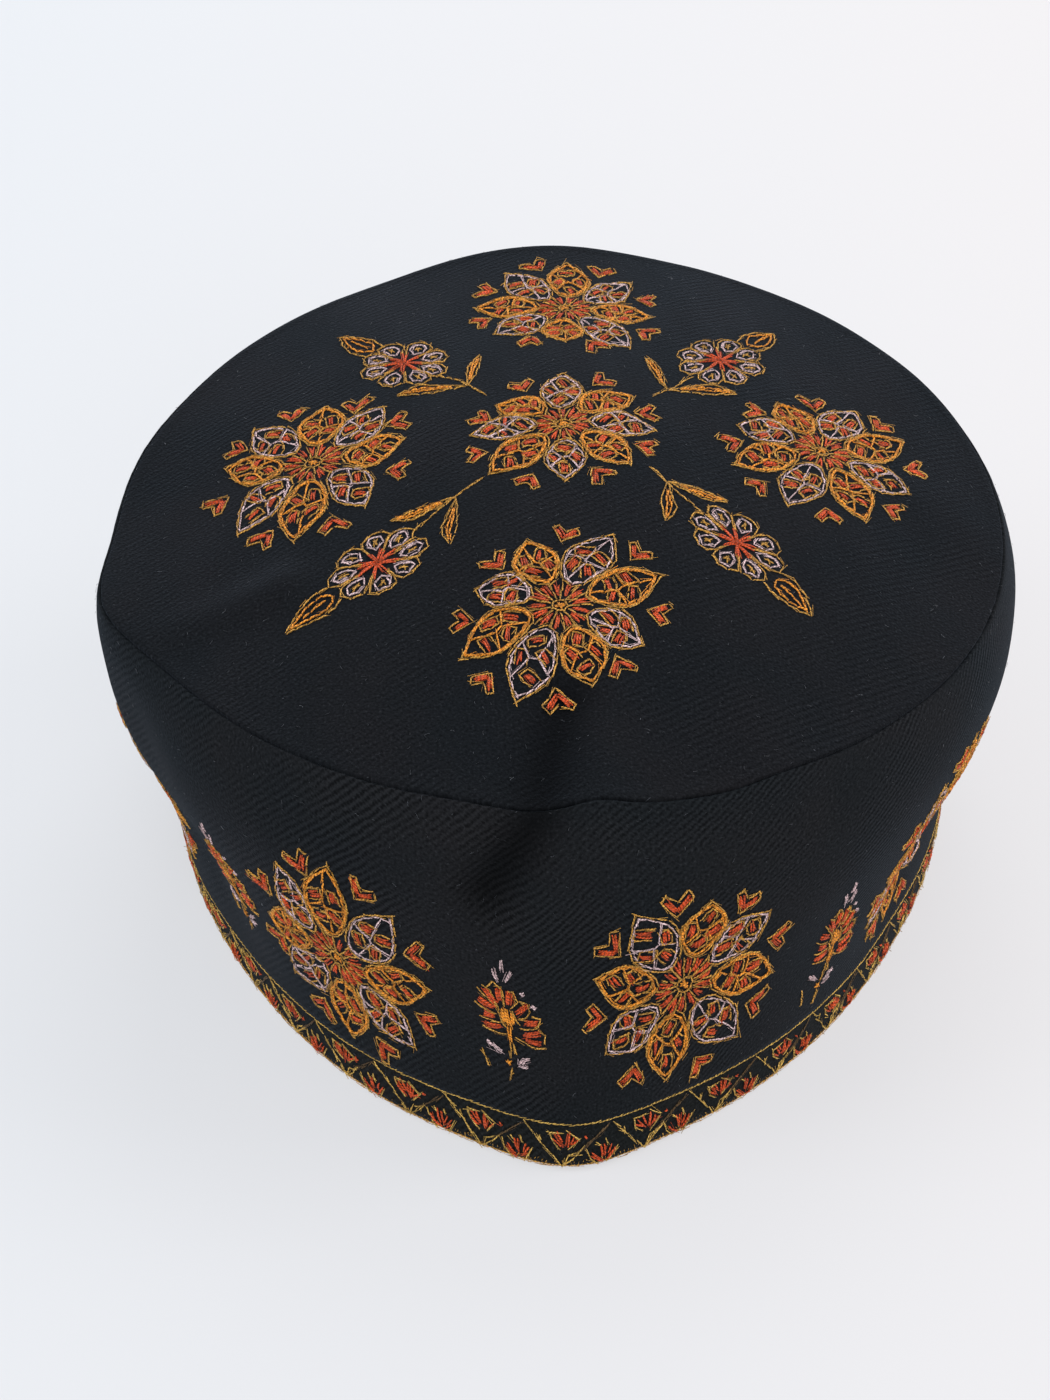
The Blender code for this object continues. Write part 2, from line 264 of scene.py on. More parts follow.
# the sprig, charted in mm from its knot: groups of strokes of one thread, each stroke as x, y, x, y
SPRIG = (
    ("petals", RED, (
        (-1.2, -2.1, -4.8, -2.4), (-2.4, -0.3, -4.6, 0.0), (-2.3, 1.6, -5.5, 3.0), (-1.8, 2.5, -4.0, 5.7),
        (-1.2, 3.2, -1.4, 6.3), (0.4, 2.9, 0.8, 6.1), (1.5, 1.4, 3.9, 3.9), (2.7, -0.3, 5.9, 0.2),
        (2.6, -3.1, 6.4, -2.1), (2.9, -3.9, 6.3, -4.6))),
    ("edges", OLD_GOLD, (
        (-5.1, -3.0, -2.1, -3.8, -0.5, -3.6), (-5.5, -0.8, -3.0, -1.4, -1.2, -1.2),
        (-6.2, 2.1, -4.6, 0.9, -2.1, 0.3), (-5.3, 5.2, -4.1, 3.9, -1.8, 1.8),
        (-4.4, 6.1, -3.2, 6.0, -1.5, 2.0), (-3.2, 6.0, -2.3, 7.4, -1.4, 6.9, -0.5, 5.7, -0.4, 2.4),
        (0.3, 5.9, 0.9, 7.0, 1.5, 5.7, 2.3, 4.4, 0.8, 2.4), (2.3, 4.4, 3.6, 4.6, 4.5, 1.4, 1.9, 0.3),
        (4.5, 1.4, 6.3, 1.2, 5.7, -1.4, 2.3, -1.7), (5.7, -1.4, 7.1, -2.1, 6.8, -4.6),
        (1.2, -3.8, 4.9, -5.6, 7.2, -5.4), (-1.7, 1.8, -1.9, 0.5, -0.4, -2.1), (0.8, 2.0, 2.0, -0.8))),
    ("knot and cup", GOLD, (
        (-1.0, 1.9, -0.3, -1.2), (-0.5, 2.2, 0.1, -1.6), (0.1, 2.0, 0.5, -1.7), (0.6, 1.5, 0.9, -1.3),
        (-1.2, 1.0, -0.6, -0.9), (1.1, 1.2, 1.2, -1.0), (-0.25, -1.8, 0.1, -4.8), (0.45, -1.9, 0.35, -5.2))),
    ("stem", OLD_GOLD, (
        (0.2, -5.3, 0.2, -7.1, 0.0, -8.9), (0.8, -5.5, 1.2, -7.6))),
    ("stem knot", GOLD, (
        (-1.0, -9.9, 0.2, -9.4), (-0.7, -9.2, 0.0, -10.3))),
    ("end of the stem", OLD_GOLD, (
        (0.1, -10.6, -0.1, -12.1, -0.5, -13.6), (-0.1, -12.3, 0.4, -11.8))),
    ("trident and leaves", LAVENDER, (
        (-1.3, 7.7, -2.1, 10.4), (-0.7, 10.0, -0.5, 12.3), (-0.2, 7.7, 1.1, 10.3), (2.6, 5.9, 3.3, 6.1),
        (4.5, 3.8, 5.5, 3.2), (-4.6, -5.8, -3.2, -7.0), (-3.7, -6.8, -1.5, -7.9), (-3.4, -6.3, -2.0, -7.7),
        (1.4, -10.2, 3.5, -9.9), (1.5, -9.7, 2.5, -8.3), (2.3, -8.4, 3.9, -8.2), (2.0, -9.5, 3.1, -8.6))),
    ("grass", OLD_GOLD, (
        (-5.7, -8.1, -5.2, -9.7, -4.6, -11.9),)),
)

# spacing of the stitches on the border's upper line, in mm, and round its lower edge, in metres
LINE_SPACING = 1.35
RIM_SPACING = 0.00075
RIM_LINE_SPACING = 0.0013
# turns in degrees of a stitch's points round the rim, and the line's points as metres along and turn round it
RIM_TURNS = np.linspace(12.0, -172.0, 6)
RIM_LINE = ((0.0, -24.0), (0.001, -32.0), (0.002, -40.0))
# one repeat of the border, charted in mm: along from the top of the bright leg, and up from the rim
BORDER_REPEAT = 16.0
BORDER_UNIT = (
    ("bright leg", OLIVE, (
        (0.1, 8.7, 3.6, 5.1, 7.3, 0.9), (2.9, 6.6, 3.1, 5.5), (7.3, 1.0, 8.1, 2.9, 10.3, 3.9),
        (7.6, 1.3, 9.2, 2.6, 11.2, 4.6))),
    ("dark leg", BROWN, (
        (9.6, 3.4, 12.4, 5.3, 15.8, 8.4), (10.4, 4.1, 12.6, 5.7, 14.7, 7.6))),
    ("upper lobes", RED, (
        (5.1, 6.4, 7.0, 5.0), (5.6, 7.2, 7.3, 5.2), (6.3, 7.7, 7.4, 5.7), (7.9, 7.7, 8.0, 4.8),
        (8.5, 7.5, 8.3, 4.8), (9.2, 6.8, 8.5, 4.9), (10.1, 6.2, 8.9, 5.2))),
    ("upper edges", OLIVE, (
        (7.9, 8.1, 9.3, 7.6, 10.5, 6.4), (10.5, 6.4, 9.9, 5.0, 8.4, 4.1), (4.6, 7.5, 6.4, 8.2, 7.3, 7.5),
        (4.6, 7.5, 5.1, 5.9, 6.9, 4.3))),
    ("dot and lower lobes", RED, (
        (11.3, 6.8, 11.8, 6.5), (12.4, 3.2, 14.1, 1.6), (12.6, 2.5, 14.7, 1.3), (14.2, 4.6, 14.6, 2.3),
        (14.8, 4.6, 15.0, 2.2), (16.3, 4.1, 15.6, 2.4), (17.1, 3.6, 15.9, 2.1), (16.8, 2.6, 15.3, 1.4))),
    ("lower edges", OLIVE, (
        (11.7, 4.3, 12.2, 2.4, 13.8, 0.9), (17.7, 3.6, 17.2, 1.8, 15.9, 0.9), (13.3, 5.2, 14.2, 4.3),
        (15.2, 5.5, 15.7, 4.2))),
)

# cloth mesh fineness
AROUND = 288
CROWN_ROWS = np.concatenate((np.linspace(0.02, 0.955, 52), np.linspace(0.963, 0.9995, 22), (1.0,)))
CROWN_UNDER_ROWS = np.linspace(0.985, 0.03, 22)
BAND_SHARES = np.concatenate((np.linspace(0.0, 0.94, 52), np.linspace(0.948, 0.9995, 20), (1.0,)))
BAND_UNDER_SHARES = np.linspace(0.97, 0.0, 18)
BORDER_HEIGHTS = np.linspace(1.0, 0.16, 12)
ROLL_TURNS = np.radians(np.linspace(-10.0, -170.0, 9))
BORDER_UNDER_HEIGHTS = np.linspace(0.16, 1.0, 6)

# camera: focal length for a 36 mm sensor, distance, height and turn of the view, and what it looks at
LENS = 81.75
CAMERA_AWAY = 0.6465
CAMERA_ELEVATION = 37.062
CAMERA_AZIMUTH = 0.788
CAMERA_ROLL = -0.8422
CAMERA_TARGET = Vector((-0.0064, 0.0022, 0.0322))

# the floor's half width, and the lights: place, size in metres, power in watts and colour
FLOOR_HALF = 4.0
LIGHTS = (
    ("light_back", (0.4, 2.2, 2.0), 1.8, 40.0, (0.97, 0.98, 1.0)),
    ("light_left", (-2.4, -0.2, 1.5), 1.4, 26.0, (0.88, 0.94, 1.0)),
    ("light_right", (2.4, 0.4, 1.5), 1.4, 34.0, (1.0, 0.95, 0.93)),
    ("light_front", (0.6, -2.4, 1.2), 1.2, 26.0, (1.0, 1.0, 1.0)),
)
SKY_COLOUR = (0.95, 0.97, 1.0, 1.0)
SKY_STRENGTH = 0.72


def bump(distance):
    """A smooth hump, 1 in the middle and near 0 two units away."""
    return np.exp(-distance * distance)


def turn_between(angle, other):
    """The signed turn from one angle to another, within half a circle."""
    return np.arctan2(np.sin(angle - other), np.cos(angle - other))


def stretch_distance(x, y, start, end):
    """How far points of the plane lie from the straight stretch between two others."""
    along_x, along_y = end[0] - start[0], end[1] - start[1]
    share = ((x - start[0]) * along_x + (y - start[1]) * along_y) / (along_x ** 2 + along_y ** 2)
    share = np.clip(share, 0, 1)
    return np.hypot(x - start[0] - along_x * share, y - start[1] - along_y * share)


def front_point(angle):
    """How strongly the storage crease draws the outline out at this angle."""
    return bump(turn_between(angle, -math.pi / 2 + POINT_TURN) / POINT_SPREAD)


def crown_fold(fold, angle, radius):
    """How deep in a fold each point of the crown lies, from 0 to 1."""
    _, start, end, spread, _ = fold
    return bump(stretch_distance(radius * np.cos(angle), radius * np.sin(angle), start, end) / spread)


def band_fold(fold, angle, share):
    """How deep in a fold each point of the band lies, from 0 to 1."""
    _, start, end, spread, _ = fold
    ends = [(math.radians(turn) * BAND_RADIUS, up * SEAM_HEIGHT) for turn, up in (start, end)]
    near = turn_between(angle, -math.pi / 2) - math.pi / 2
    return bump(stretch_distance(near * BAND_RADIUS, share * SEAM_HEIGHT, *ends) / spread)


def ripple(angle, share):
    """Height of the cloth's soft waves."""
    return sum(height * np.sin(around * angle + up * share + start)
               for _, around, up, start, height in RIPPLES)


def rim_outline(angle):
    """Points of the rim's outer edge."""
    x = RIM_HALF_WIDTH * np.cos(angle) * (1 + RIM_EGG * np.sin(angle))
    y = RIM_HALF_LENGTH * np.sin(angle) - RIM_POINT * front_point(angle)
    return np.stack([x, y, 0 * x], -1)


def plain_crown(angle, radius):
    """Points of the crown's outer face; the seam is at radius 1."""
    across, along = radius * np.cos(angle), radius * np.sin(angle)
    drop, inset = 0.0, 0.0
    for _, centre, spread, fall, push in SEAM_DENTS:
        strength = bump(turn_between(angle, math.radians(centre)) / math.radians(spread))
        drop, inset = drop + fall * strength, inset + push * strength
    edge = radius ** EDGE_POWER
    dome = 1 + DOME_BACK * along + DOME_LENGTHWISE * along ** 2 + DOME_SIDEWISE * across ** 2
    z = SEAM_HEIGHT + SEAM_RISE * along + SEAM_LEAN * across + SEAM_SADDLE * (across ** 2 - along ** 2)
    z = z + DOME_HEIGHT * (1 - radius ** 2) * dome - drop * edge
    for fold in CROWN_FOLDS:
        z = z - fold[-1] * crown_fold(fold, angle, radius) * (1 - edge)
    z = z + ripple(angle, 0.0) * edge + ripple(3.1 * across + 1.0, 2.3 * along) * (1 - edge)
    x = SEAM_SHIFT + SEAM_HALF_WIDTH * across - inset * edge * np.cos(angle)
    y = SEAM_SETBACK + SEAM_HALF_LENGTH * along - inset * edge * np.sin(angle)
    y = y - SEAM_POINT * front_point(angle) * edge
    return np.stack([x, y, z], -1)


def plain_band(angle, share):
    """Points of the band's outer face, from the rim at share 0 to the seam at share 1."""
    rim = rim_outline(angle)
    place = rim + (plain_crown(angle, np.ones_like(angle)) - rim) * share[..., None]
    swell = 1 + BULGE_SKEW * np.cos(angle) + BULGE_SIDES * np.cos(2 * angle)
    outward = BAND_BULGE * swell * share ** BULGE_POWER * (1 - share) / BULGE_PEAK
    outward = outward - BAND_WAIST * share * (1 - share) ** 2 / WAIST_PEAK
    for fold in BAND_FOLDS:
        outward = outward - fold[-1] * band_fold(fold, angle, share) * (1 - share ** FADE_POWER)
    outward = outward + ripple(angle, 3.0 * share) * np.sin(math.pi * share)
    return place + np.stack([np.cos(angle), np.sin(angle), 0 * angle], -1) * outward[..., None]


def slope_normal(surface, angle, share, step=0.002):
    """Unit normals from a face's slopes: outward on the band, downward on the crown."""
    low, high = np.maximum(share - step, 0.001), np.minimum(share + step, 1.0)
    round_way = surface(angle + step, share) - surface(angle - step, share)
    up_way = surface(angle, high) - surface(angle, low)
    normal = np.cross(round_way, up_way)
    return normal / np.linalg.norm(normal, axis=-1, keepdims=True)


def seam_step(angle):
    """Step from the seam's outer corner to its inner corner, for cloth one unit thick."""
    one = np.ones_like(angle)
    band_normal = slope_normal(plain_band, angle, one)
    crown_normal = -slope_normal(plain_crown, angle, one)
    facing = (band_normal * crown_normal).sum(-1, keepdims=True)
    return -(band_normal + crown_normal) / (1 + facing)


def sewn(points, angle, away):
    """Points near the seam, sunk into its line and raised on the welt beside it."""
    depth = SEAM_SINK * bump(away / SEAM_SINK_WIDTH) - WELT_RISE * bump((away - WELT_AWAY) / WELT_WIDTH)
    pucker = 1 + PUCKER_DEPTH * np.sin(PUCKERS * angle + 3 * np.sin(7 * angle))
    pucker = pucker + FINE_PUCKER_DEPTH * np.sin(FINE_PUCKERS * angle + 1.0)
    return points + seam_step(angle) * (depth * pucker)[..., None]


def crown_face(angle, radius):
    """The crown's outer face in the cap's own place."""
    angle, radius = np.broadcast_arrays(np.asarray(angle, float), np.asarray(radius, float))
    points = plain_crown(angle, radius)
    return sewn(points, angle, (1 - radius) * SEAM_HALF_WIDTH) - MIDDLE


def band_face(angle, share):
    """The band's outer face in the cap's own place."""
    angle, share = np.broadcast_arrays(np.asarray(angle, float), np.asarray(share, float))
    points = plain_band(angle, share)
    return sewn(points, angle, (1 - share) * SEAM_HEIGHT) - MIDDLE


def share_at(angle, height):
    """Share of the band's height at which its outer face is this high."""
    return height / plain_crown(angle, np.ones_like(angle))[..., 2]


def run_lengths(points):
    """Length along a row of points to each of them, from the first."""
    return np.concatenate(((0.0,), np.cumsum(np.linalg.norm(np.diff(points, axis=0), axis=1))))


RING = np.linspace(0, 2 * math.pi, AROUND + 1)
RIM_TABLE = np.linspace(-math.pi, math.pi, 1441)
RIM_LENGTHS = run_lengths(band_face(RIM_TABLE, 0 * RIM_TABLE))


def crown_place(spots):
    """Points of the crown at plan positions in mm from its middle."""
    across = spots[:, 0] * MM / SEAM_HALF_WIDTH
    along = spots[:, 1] * MM / SEAM_HALF_LENGTH
    return crown_face(np.arctan2(along, across), np.hypot(across, along))


def band_place(angle, share):
    """A function that gives points of the band at positions in mm round one spot of it."""
    angle = math.radians(angle)
    middle = band_face(angle, share)
    step = 0.01
    wide = np.linalg.norm(band_face(angle + step, share) - middle) / step
    high = np.linalg.norm(band_face(angle, share + step) - middle) / step

    def place(spots):
        return band_face(angle + spots[:, 0] * MM / wide, share + spots[:, 1] * MM / high)
    return place


def border_place(spots):
    """Points of the border at mm along the rim, from the back, and mm up from it."""
    angle = np.interp((spots[:, 0] * MM) % RIM_LENGTHS[-1], RIM_LENGTHS, RIM_TABLE)
    return band_face(angle, share_at(angle, spots[:, 1] * MM))


def roll_centres(angle):
    """Middle line of the border's rolled lower edge, and the way outward from it."""
    height = BORDER_CLOTH / 2 + RIM_CLEAR
    share = share_at(angle, np.full_like(angle, height))
    outward = slope_normal(plain_band, angle, np.maximum(share, 0.003))
    outward[..., 2] = 0
    outward /= np.linalg.norm(outward, axis=-1, keepdims=True)
    return band_face(angle, share) - outward * BORDER_CLOTH / 2, outward


def arithmetic(operation, swapped=False):
    """A method that puts a wire and another value through a Math node."""
    def combine(self, other):
        pair = (other, self) if swapped else (self, other)
        return self.bench.maths(operation, *pair)
    return combine


class Wire:
    """A node's output that takes part in arithmetic: each operation adds a Math node."""

    def __init__(self, bench, socket):
        self.bench = bench
        self.socket = socket

    __add__ = __radd__ = arithmetic("ADD")
    __sub__ = arithmetic("SUBTRACT")
    __rsub__ = arithmetic("SUBTRACT", True)
    __mul__ = __rmul__ = arithmetic("MULTIPLY")


class Bench:
    """Adds nodes to one tree."""

    def __init__(self, tree):
        self.tree = tree

    def node(self, kind, sockets=None, **settings):
        """A node of a type, with its settings made first, then the values or links of its sockets."""
        made = self.tree.nodes.new(kind)
        for name, value in settings.items():
            setattr(made, name, value)
        for key, value in (sockets or {}).items():
            if isinstance(value, Wire):
                self.tree.links.new(value.socket, made.inputs[key])
            else:
                made.inputs[key].default_value = value
        return made

    def wire(self, kind, sockets=None, output=0, **settings):
        """One output of a new node, ready for arithmetic."""
        return Wire(self, self.node(kind, sockets, **settings).outputs[output])

    def parts(self, vector):
        """The first two numbers of a vector."""
        split = self.node("ShaderNodeSeparateXYZ", {0: vector})
        return Wire(self, split.outputs[0]), Wire(self, split.outputs[1])

    def maths(self, operation, first, second=0.0):
        """A Math node's result."""
        return self.wire("ShaderNodeMath", {0: first, 1: second}, operation=operation)

    def vector(self, operation, first, second=0.0, number=1):
        """A Vector Math node's result; the second value goes to the socket of this number."""
        return self.wire("ShaderNodeVectorMath", {0: first, number: second}, operation=operation)

    def mix(self, factor, first, second):
        """A blend of two colours."""
        return self.wire("ShaderNodeMix", {0: factor, 6: first, 7: second}, 2, data_type="RGBA")

    def cloud(self, place, scale, detail):
        """A Noise Texture's value."""
        return self.wire("ShaderNodeTexNoise", {"Vector": place, "Scale": scale, "Detail": detail})

    def ranged(self, value, low, high, start=0.0, end=1.0):
        """A value taken from one range to another and held within it."""
        return self.wire("ShaderNodeMapRange", {"Value": value, 1: low, 2: high, 3: start, 4: end})

    def relief(self, strength, distance, height):
        """A Bump node's normal."""
        return self.wire("ShaderNodeBump", {"Strength": strength, "Distance": distance, "Height": height})

    def finish(self, sockets):
        """Main shader with these sockets, joined to the output."""
        self.node("ShaderNodeOutputMaterial", {"Surface": self.wire("ShaderNodeBsdfPrincipled", sockets)})


def new_material(name):
    """A material with an empty shader tree, and the bench for it."""
    material = bpy.data.materials.new(name)
    material.use_nodes = True
    material.node_tree.nodes.clear()
    return material, Bench(material.node_tree)


def linear(colour, factor):
    """A colour with its brightness scaled and full alpha."""
    return (colour[0] * factor, colour[1] * factor, colour[2] * factor, 1.0)


def wool_twill(name, colour, slant, ribbed, bloom, rib):
    """Black wool twill: slanting ribs that show in places, under short grey hairs, on the map in mm; its
    colour holds painted light on the ribs, painted shade in their grooves and painted shade in the front
    dent.
    """
    material, bench = new_material(name)
    place = bench.wire("ShaderNodeUVMap", uv_map="cloth")
    across, up = bench.parts(place)
    # depth in the front dent, which darkens the wool as painted shade
    crease = bench.wire("ShaderNodeAttribute", None, 2, attribute_name="crease")
    loose = bench.cloud(place, 0.35, 2.0)
    hairs = bench.cloud(place, 1.9, 3.0)
    worn = bench.cloud(place, 0.045, 2.0)
    patches = bench.cloud(place, 0.035, 2.0)
    sine, cosine = math.sin(math.radians(slant)), math.cos(math.radians(slant))
    over = up * cosine - across * sine + (loose - 0.5) * 0.9
    ahead = across * cosine + up * sine
    ribs = bench.maths("SINE", over * (2 * math.pi / rib))
    yarn = bench.maths("SINE", ahead * (2 * math.pi / 0.62) + over * (math.pi / rib))
    shown = bench.ranged(worn, 0.40, 0.62, 0.08, 1.0)
    height = (ribs + yarn * 0.35) * shown * ribbed + (hairs - 0.5) * 4.0
    # the colour follows this height: painted light on the ribs and painted shade in their grooves, and partly
    # the short hairs' own lighter grey
    lit = bench.ranged(height, -1.0, 1.0)
    cool, warm = np.array(colour) * COOLER, np.array(colour) * WARMER
    cool_tone = bench.mix(lit, linear(cool, 0.50), linear(cool, 1.55))
    warm_tone = bench.mix(lit, linear(warm, 0.55), linear(warm, 1.75))
    tone = bench.mix(bench.ranged(patches, 0.35, 0.65), cool_tone, warm_tone)
    tone = bench.mix(bench.ranged(hairs, 0.62, 0.78) * 0.35, tone, (0.042, 0.045, 0.050, 1.0))
    # painted shade: the wool is coloured darker towards the bottom of the front dent, where shadow falls
    tone = bench.mix(crease * CREASE_PAINTED_SHADE, tone, linear(colour, 0.15))
    bench.finish({
        "Base Color": tone, "Roughness": bench.ranged(lit, 0.0, 1.0, 0.98, 0.90), "Specular IOR Level": 0.02,
        "Sheen Weight": bloom, "Sheen Roughness": 0.40, "Sheen Tint": (0.62, 0.78, 1.0, 1.0),
        "Normal": bench.relief(0.4, 0.0002, height)})
    return material


def silk_thread(name, colour):
    """Two-ply embroidery thread: its strands wind round it with painted shade between them and painted
    highlights and glints on them, and each stitch has a tone of its own.
    """
    material, bench = new_material(name)
    along, shade, around = (bench.wire("ShaderNodeAttribute", None, output, attribute_name=attribute)
                            for attribute, output in (("along", 2), ("shade", 2), ("around", 1)))
    sideways, upright = bench.parts(around)
    angle = along * (2 * math.pi * STRAND_TURNS)
    strands = bench.maths("SINE", angle) * sideways + bench.maths("COSINE", angle) * upright
    glint_noise = bench.cloud(bench.wire("ShaderNodeTexCoord", None, 3), 1900.0, 2.0)
    # painted shade in the grooves between the strands and painted highlights on their crowns
    tone = bench.mix(bench.ranged(strands, -0.9, 0.4), linear(colour, 0.24), linear(colour, 1.25))
    tone = bench.mix(bench.ranged(shade, 0.2, 1.0) * 0.75, tone, linear(colour, 0.28))
    # painted glints: bright flecks along the thread
    tone = bench.mix(bench.ranged(glint_noise, 0.45, 0.72) * 0.6, tone, linear(colour, 1.75))
    bench.finish({"Base Color": tone, "Roughness": 0.46, "Specular IOR Level": 0.38,
                  "Normal": bench.relief(0.8, 0.00015, strands + glint_noise)})
    return material


def pale_floor(colour, glow):
    """Matt pale surface lit from below like a light table, tinted cooler on the left than on the right as
    painted light of the cool and warm lamps.
    """
    material, bench = new_material("pale_floor")
    # painted light: the floor's colour and glow run from the cool left lamp's tint to the warm right lamp's
    # tint
    side = bench.ranged(bench.parts(bench.wire("ShaderNodeTexCoord", None, 3))[0], -0.25, 0.25)
    painted_lamp_tint = bench.mix(side, (0.955, 1.0, 1.055, 1.0), (1.035, 1.0, 1.005, 1.0))
    bench.finish({"Base Color": bench.vector("MULTIPLY", painted_lamp_tint, tuple(colour)), "Roughness": 0.8,
                  "Specular IOR Level": 0.2, "Emission Color": painted_lamp_tint, "Emission Strength": glow})
    return material


def add_object(name, data):
    """A new object in the scene."""
    made = bpy.data.objects.new(name, data)
    bpy.context.scene.collection.objects.link(made)
    return made


class Wall:
    """A closed cloth wall, gathered as rings of points that follow one another."""

    def __init__(self):
        self.rings = []
        self.maps = []
        self.painted_shade_depths = []

    def add(self, points, spots, crease=0.0):
        """One more ring, with its place on the cloth's map and its depth in a crease, which sets its painted
        shade;
        its first point is repeated at its end."""
        self.rings.append(points)
        self.maps.append(spots)
        self.painted_shade_depths.append(crease + 0 * RING)

    def finish(self, name, material, poles=None):
        """Make the wall; poles close its two ends, and without them the last ring joins the first."""
        rings, maps = np.array(self.rings), np.array(self.maps)
        rows = len(rings)
        points = rings[:, :AROUND].reshape(-1, 3)
        index = np.arange(rows * AROUND).reshape(rows, AROUND)
        index = np.concatenate((index, index[:, :1]), 1)
        if poles is None:
            index = np.concatenate((index, index[:1]), 0)
            maps = np.concatenate((maps, maps[:1]), 0)
        corners, spots = (np.stack([grid[:-1, :-1], grid[:-1, 1:], grid[1:, 1:], grid[1:, :-1]], 2)
                          for grid in (index, maps))
        faces, spots = corners.reshape(-1, 4).tolist(), spots.reshape(-1, 2)
        if poles is not None:
            points = np.concatenate((points, np.array(poles)))
            for row, pole, near, far in ((0, rows * AROUND, slice(1, None), slice(0, -1)),
                                         (-1, rows * AROUND + 1, slice(0, -1), slice(1, None))):
                faces += [[*pair, pole] for pair in zip(index[row, near].tolist(), index[row, far].tolist())]
                middle = np.broadcast_to(maps[row].mean(0), (AROUND, 2))
                cap = np.stack([maps[row, near], maps[row, far], middle], 1)
                spots = np.concatenate((spots, cap.reshape(-1, 2)))
        mesh = bpy.data.meshes.new(name)
        mesh.from_pydata(points.tolist(), [], faces)
        mesh.uv_layers.new(name="cloth").data.foreach_set("uv", spots.astype(np.float32).ravel())
        # depth of each point in the front dent, which the wool's colour turns into painted shade
        depths = np.zeros(len(points), np.float32)
        depths[:rows * AROUND] = np.array(self.painted_shade_depths)[:, :AROUND].ravel()
        mesh.attributes.new("crease", "FLOAT", "POINT").data.foreach_set("value", depths)
        mesh.materials.append(material)
        mesh.shade_smooth()
        mesh.validate()
        return add_object(name, mesh)


def sew_crown_panel(material):
    """The crown: outer face, seam edge and inner face."""
    wall = Wall()
    for radius in CROWN_ROWS:
        points = crown_face(RING, radius)
        wall.add(points, points[:, :2] / MM, crown_fold(CROWN_FOLDS[0], RING, radius))
    wall.add(wall.rings[-1] + seam_step(RING) * CLOTH, wall.maps[-1] * 0.985, wall.painted_shade_depths[-1])
    for radius in CROWN_UNDER_ROWS:
        round_way = np.full_like(RING, radius)
        points = plain_crown(RING, round_way) - MIDDLE + slope_normal(plain_crown, RING, round_way) * CLOTH
        wall.add(points, points[:, :2] / MM)
    top = crown_face(0.0, 0.0)
    return wall.finish("crown_panel", material, (top, top - np.array((0, 0, CLOTH))))


def sew_band_panel(material):
    """The side band: outer face, seam edge and inner face."""
    lengths = run_lengths(band_face(RING, 0.5)) / MM
    bottom = share_at(RING, np.full_like(RING, BORDER_HEIGHT))
    wall = Wall()
    for row in BAND_SHARES:
        share = bottom + (1 - bottom) * row
        wall.add(band_face(RING, share), np.stack([lengths, share * SEAM_HEIGHT / MM], -1),
                 band_fold(BAND_FOLDS[0], RING, share))
    wall.add(wall.rings[-1] + seam_step(RING) * CLOTH, wall.maps[-1] + np.array((0.0, 1.8)),
             wall.painted_shade_depths[-1])
    for row in BAND_UNDER_SHARES:
        share = bottom + (1 - bottom) * row
        points = plain_band(RING, share) - MIDDLE - slope_normal(plain_band, RING, share) * CLOTH
        wall.add(points, np.stack([lengths, (2.02 - share) * SEAM_HEIGHT / MM], -1))
    for rows in (wall.rings, wall.maps, wall.painted_shade_depths):
        rows.reverse()
    return wall.finish("band_panel", material)


def sew_border_strip(material):
    """The doubled border strip with its rolled lower edge."""
    lengths = run_lengths(band_face(RING, 0.5)) / MM
    centre, outward = roll_centres(RING)
    wall = Wall()

    def face(row):
        height = np.full_like(RING, BORDER_HEIGHT * row)
        return band_face(RING, share_at(RING, height)), height / MM

    for row in BORDER_HEIGHTS:
        points, up = face(row)
        wall.add(points, np.stack([lengths, up], -1))
    for turn in ROLL_TURNS:
        way = outward * math.cos(turn) + np.array((0, 0, math.sin(turn)))
        wall.add(centre + way * BORDER_CLOTH / 2, np.stack([lengths, 0 * RING + 1.5 + 2.2 * turn], -1))
    for row in BORDER_UNDER_HEIGHTS:
        points, up = face(row)
        wall.add(points - outward * BORDER_CLOTH, np.stack([lengths, -6.0 - up], -1))
    return wall.finish("border_strip", material)


